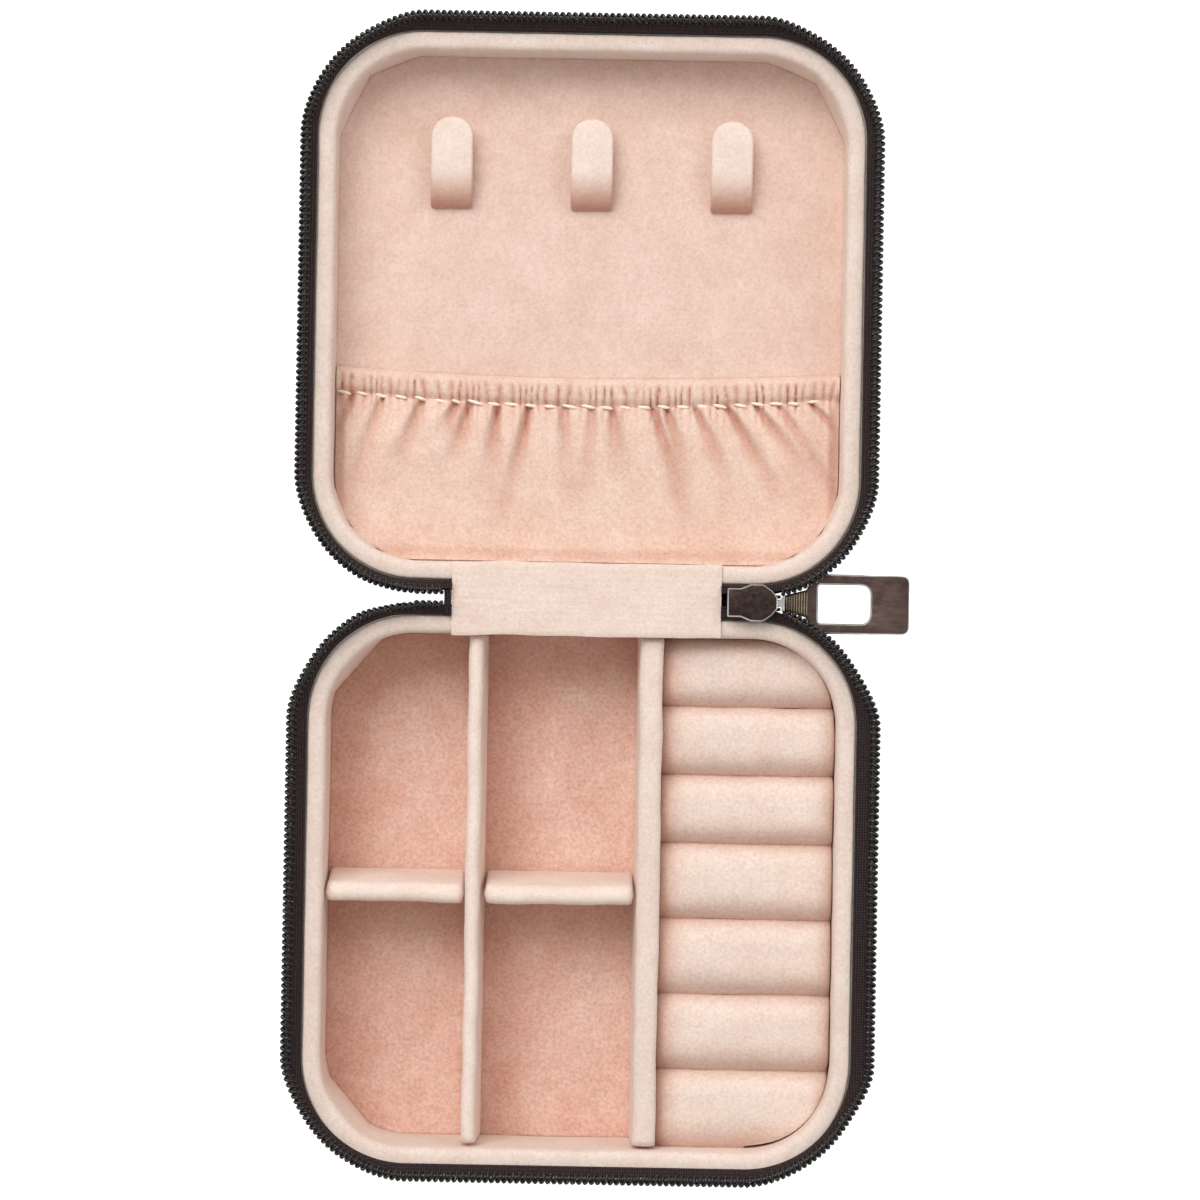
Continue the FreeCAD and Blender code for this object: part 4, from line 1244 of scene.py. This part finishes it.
slider = {
    # the plate from the tail to the nose: x, half width, rounding
    "plate": ((24.1, 2.45, 0.3), (26.4, 2.45, 0.8), (28.1, 3.15, 1.2), (30.2, 3.17, 1.6), (31.7, 2.1, 1.2),
              (32.6, 0.95, 0.5)),
    "thick": 0.65, "bevel": 0.24,
    "nose": ((32.3, 0.5), (32.75, 0.42), (33.15, 0.7), (33.5, 1.25), (33.75, 1.3)),
    "noseDepths": (1.2, 0.25, 0.12),
    "lowerWidth": 0.6, "lowerLevels": (21.85, 21.95, 22.35, 22.45),
    "lugX": (31.3, 33.2), "lugZ": (20.1, 22.2), "lugInner": 0.75, "lugOuter": 1.35,
}


def outlineOf(y, points):
    # the same half widths on both sides of a middle line
    return [(x, y + w, *r) for x, w, *r in points] + [(x, y - w, *r) for x, w, *r in reversed(points)]


def makeSlider():
    low, high = boxOf("zip_slider")
    y, top = (low[1] + high[1]) / 2, high[2]
    outline = roundCorners(outlineOf(y, slider["plate"]))
    outline.reverse()
    noseLine = outlineOf(y, slider["nose"])
    noseRings = [[(x, yy, top - depth) for x, yy in noseLine] for depth in slider["noseDepths"]]
    near, far = slider["lugInner"], slider["lugOuter"]
    lugs = [bar(*slider["lugX"], y + a, y + b, *slider["lugZ"], 0.35)
            for a, b in ((-far, -near), (near, far))]
    post = bar(30.6, 32.4, y - 1.0, y + 1.0, 22.3, 24.1, 0.4)
    lowerLine = [(x, mix(y, yy, slider["lowerWidth"])) for x, yy in outline]
    lowerPlate = loft([[(x, yy, z) for x, yy in lowerLine] for z in slider["lowerLevels"]], caps=True)
    piece = makePlate("zipSlider", outline, [], top - slider["thick"], top, slider["bevel"], sliderMetal,
                      edgeHighlightMetal, extra=[post, lowerPlate] + lugs)
    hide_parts("zip_slider")
    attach(piece, "slider")
    # the nose takes the near-white metal too, as a painted highlight
    noseMesh = makePiece("sliderNose", *loft(noseRings, caps=True), edgeHighlightMetal, "metal", 40)
    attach(noseMesh, "slider")


pull = {
    "neckX": 33.9, "neck": 1.35, "shoulderX": 37.6, "shoulder": 2.35, "bevel": 0.26,
    "windowX": (39.5, 48.35), "windowHalf": 3.25,
    "ridges": 9, "ridgePitch": 0.43, "ridgeRise": 0.3, "ridgeWide": 0.2,
    "pin": (32.2, 20.55),      # x and height of the pin it swings on
}


def makePull():
    low, high = boxOf("zip_pull")
    y, wide = (low[1] + high[1]) / 2, (high[1] - low[1]) / 2
    neckX, neck, shoulderX, shoulder = [pull[key] for key in ("neckX", "neck", "shoulderX", "shoulder")]
    side = [(neckX, -neck, 0.3), (shoulderX, -shoulder, 0.6), (shoulderX + 0.9, -wide, 1.0),
            (high[0], -wide, 1.5)]
    outline = roundCorners(outlineOf(y, side))
    (windowLow, windowHigh), half = pull["windowX"], pull["windowHalf"]
    window = roundCorners([(windowLow, y - half, 0.6), (windowHigh, y - half, 1.8),
                           (windowHigh, y + half, 1.8), (windowLow, y + half, 0.6)])
    ridges, top = [], high[2]
    for i in range(pull["ridges"]):
        start, half = neckX + 0.15 + pull["ridgePitch"] * i, mix(neck, shoulder, i / pull["ridges"]) - 0.15
        ridges.append(bar(start, start + pull["ridgeWide"], y - half, y + half,
                          top - 0.2, top + pull["ridgeRise"], 0.09))
    # the eye round the slider's pin
    eye = []
    pinX, pinZ = pull["pin"]
    for across, r in ((-0.6, 0.65), (-0.5, 0.78), (0.5, 0.78), (0.6, 0.65)):
        eye.append([(pinX + r * cos(a), y + across, pinZ + r * sin(a)) for a in around(16)])
    web = bar(32.6, 34.3, y - 0.6, y + 0.6, low[2] + 0.1, high[2] - 0.1, 0.3)
    piece = makePlate("zipPull", outline, [window], low[2], high[2], pull["bevel"], pullMetal, edgeHighlightMetal,
                      extra=[loft(eye, caps=True), web], dullTo=shoulderX + 1.2)
    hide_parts("zip_pull")
    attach(piece, "pull")
    grip = makePiece("pullRidges", *join(ridges), brassMetal, "metal", 50)
    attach(grip, "pull")


makeSlider()
makePull()
print("slider and pull made")


ownFinish = {"base_board": greyBoard, "lid_board": greyBoard, "lid_foam": creamFoam}
for name, finish in ownFinish.items():
    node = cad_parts[name]
    node.data.materials.clear()
    node.data.materials.append(finish)

unfinished = [n for n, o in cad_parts.items() if not o.hide_render and n not in ownFinish]
print("nodes still to finish:", unfinished)
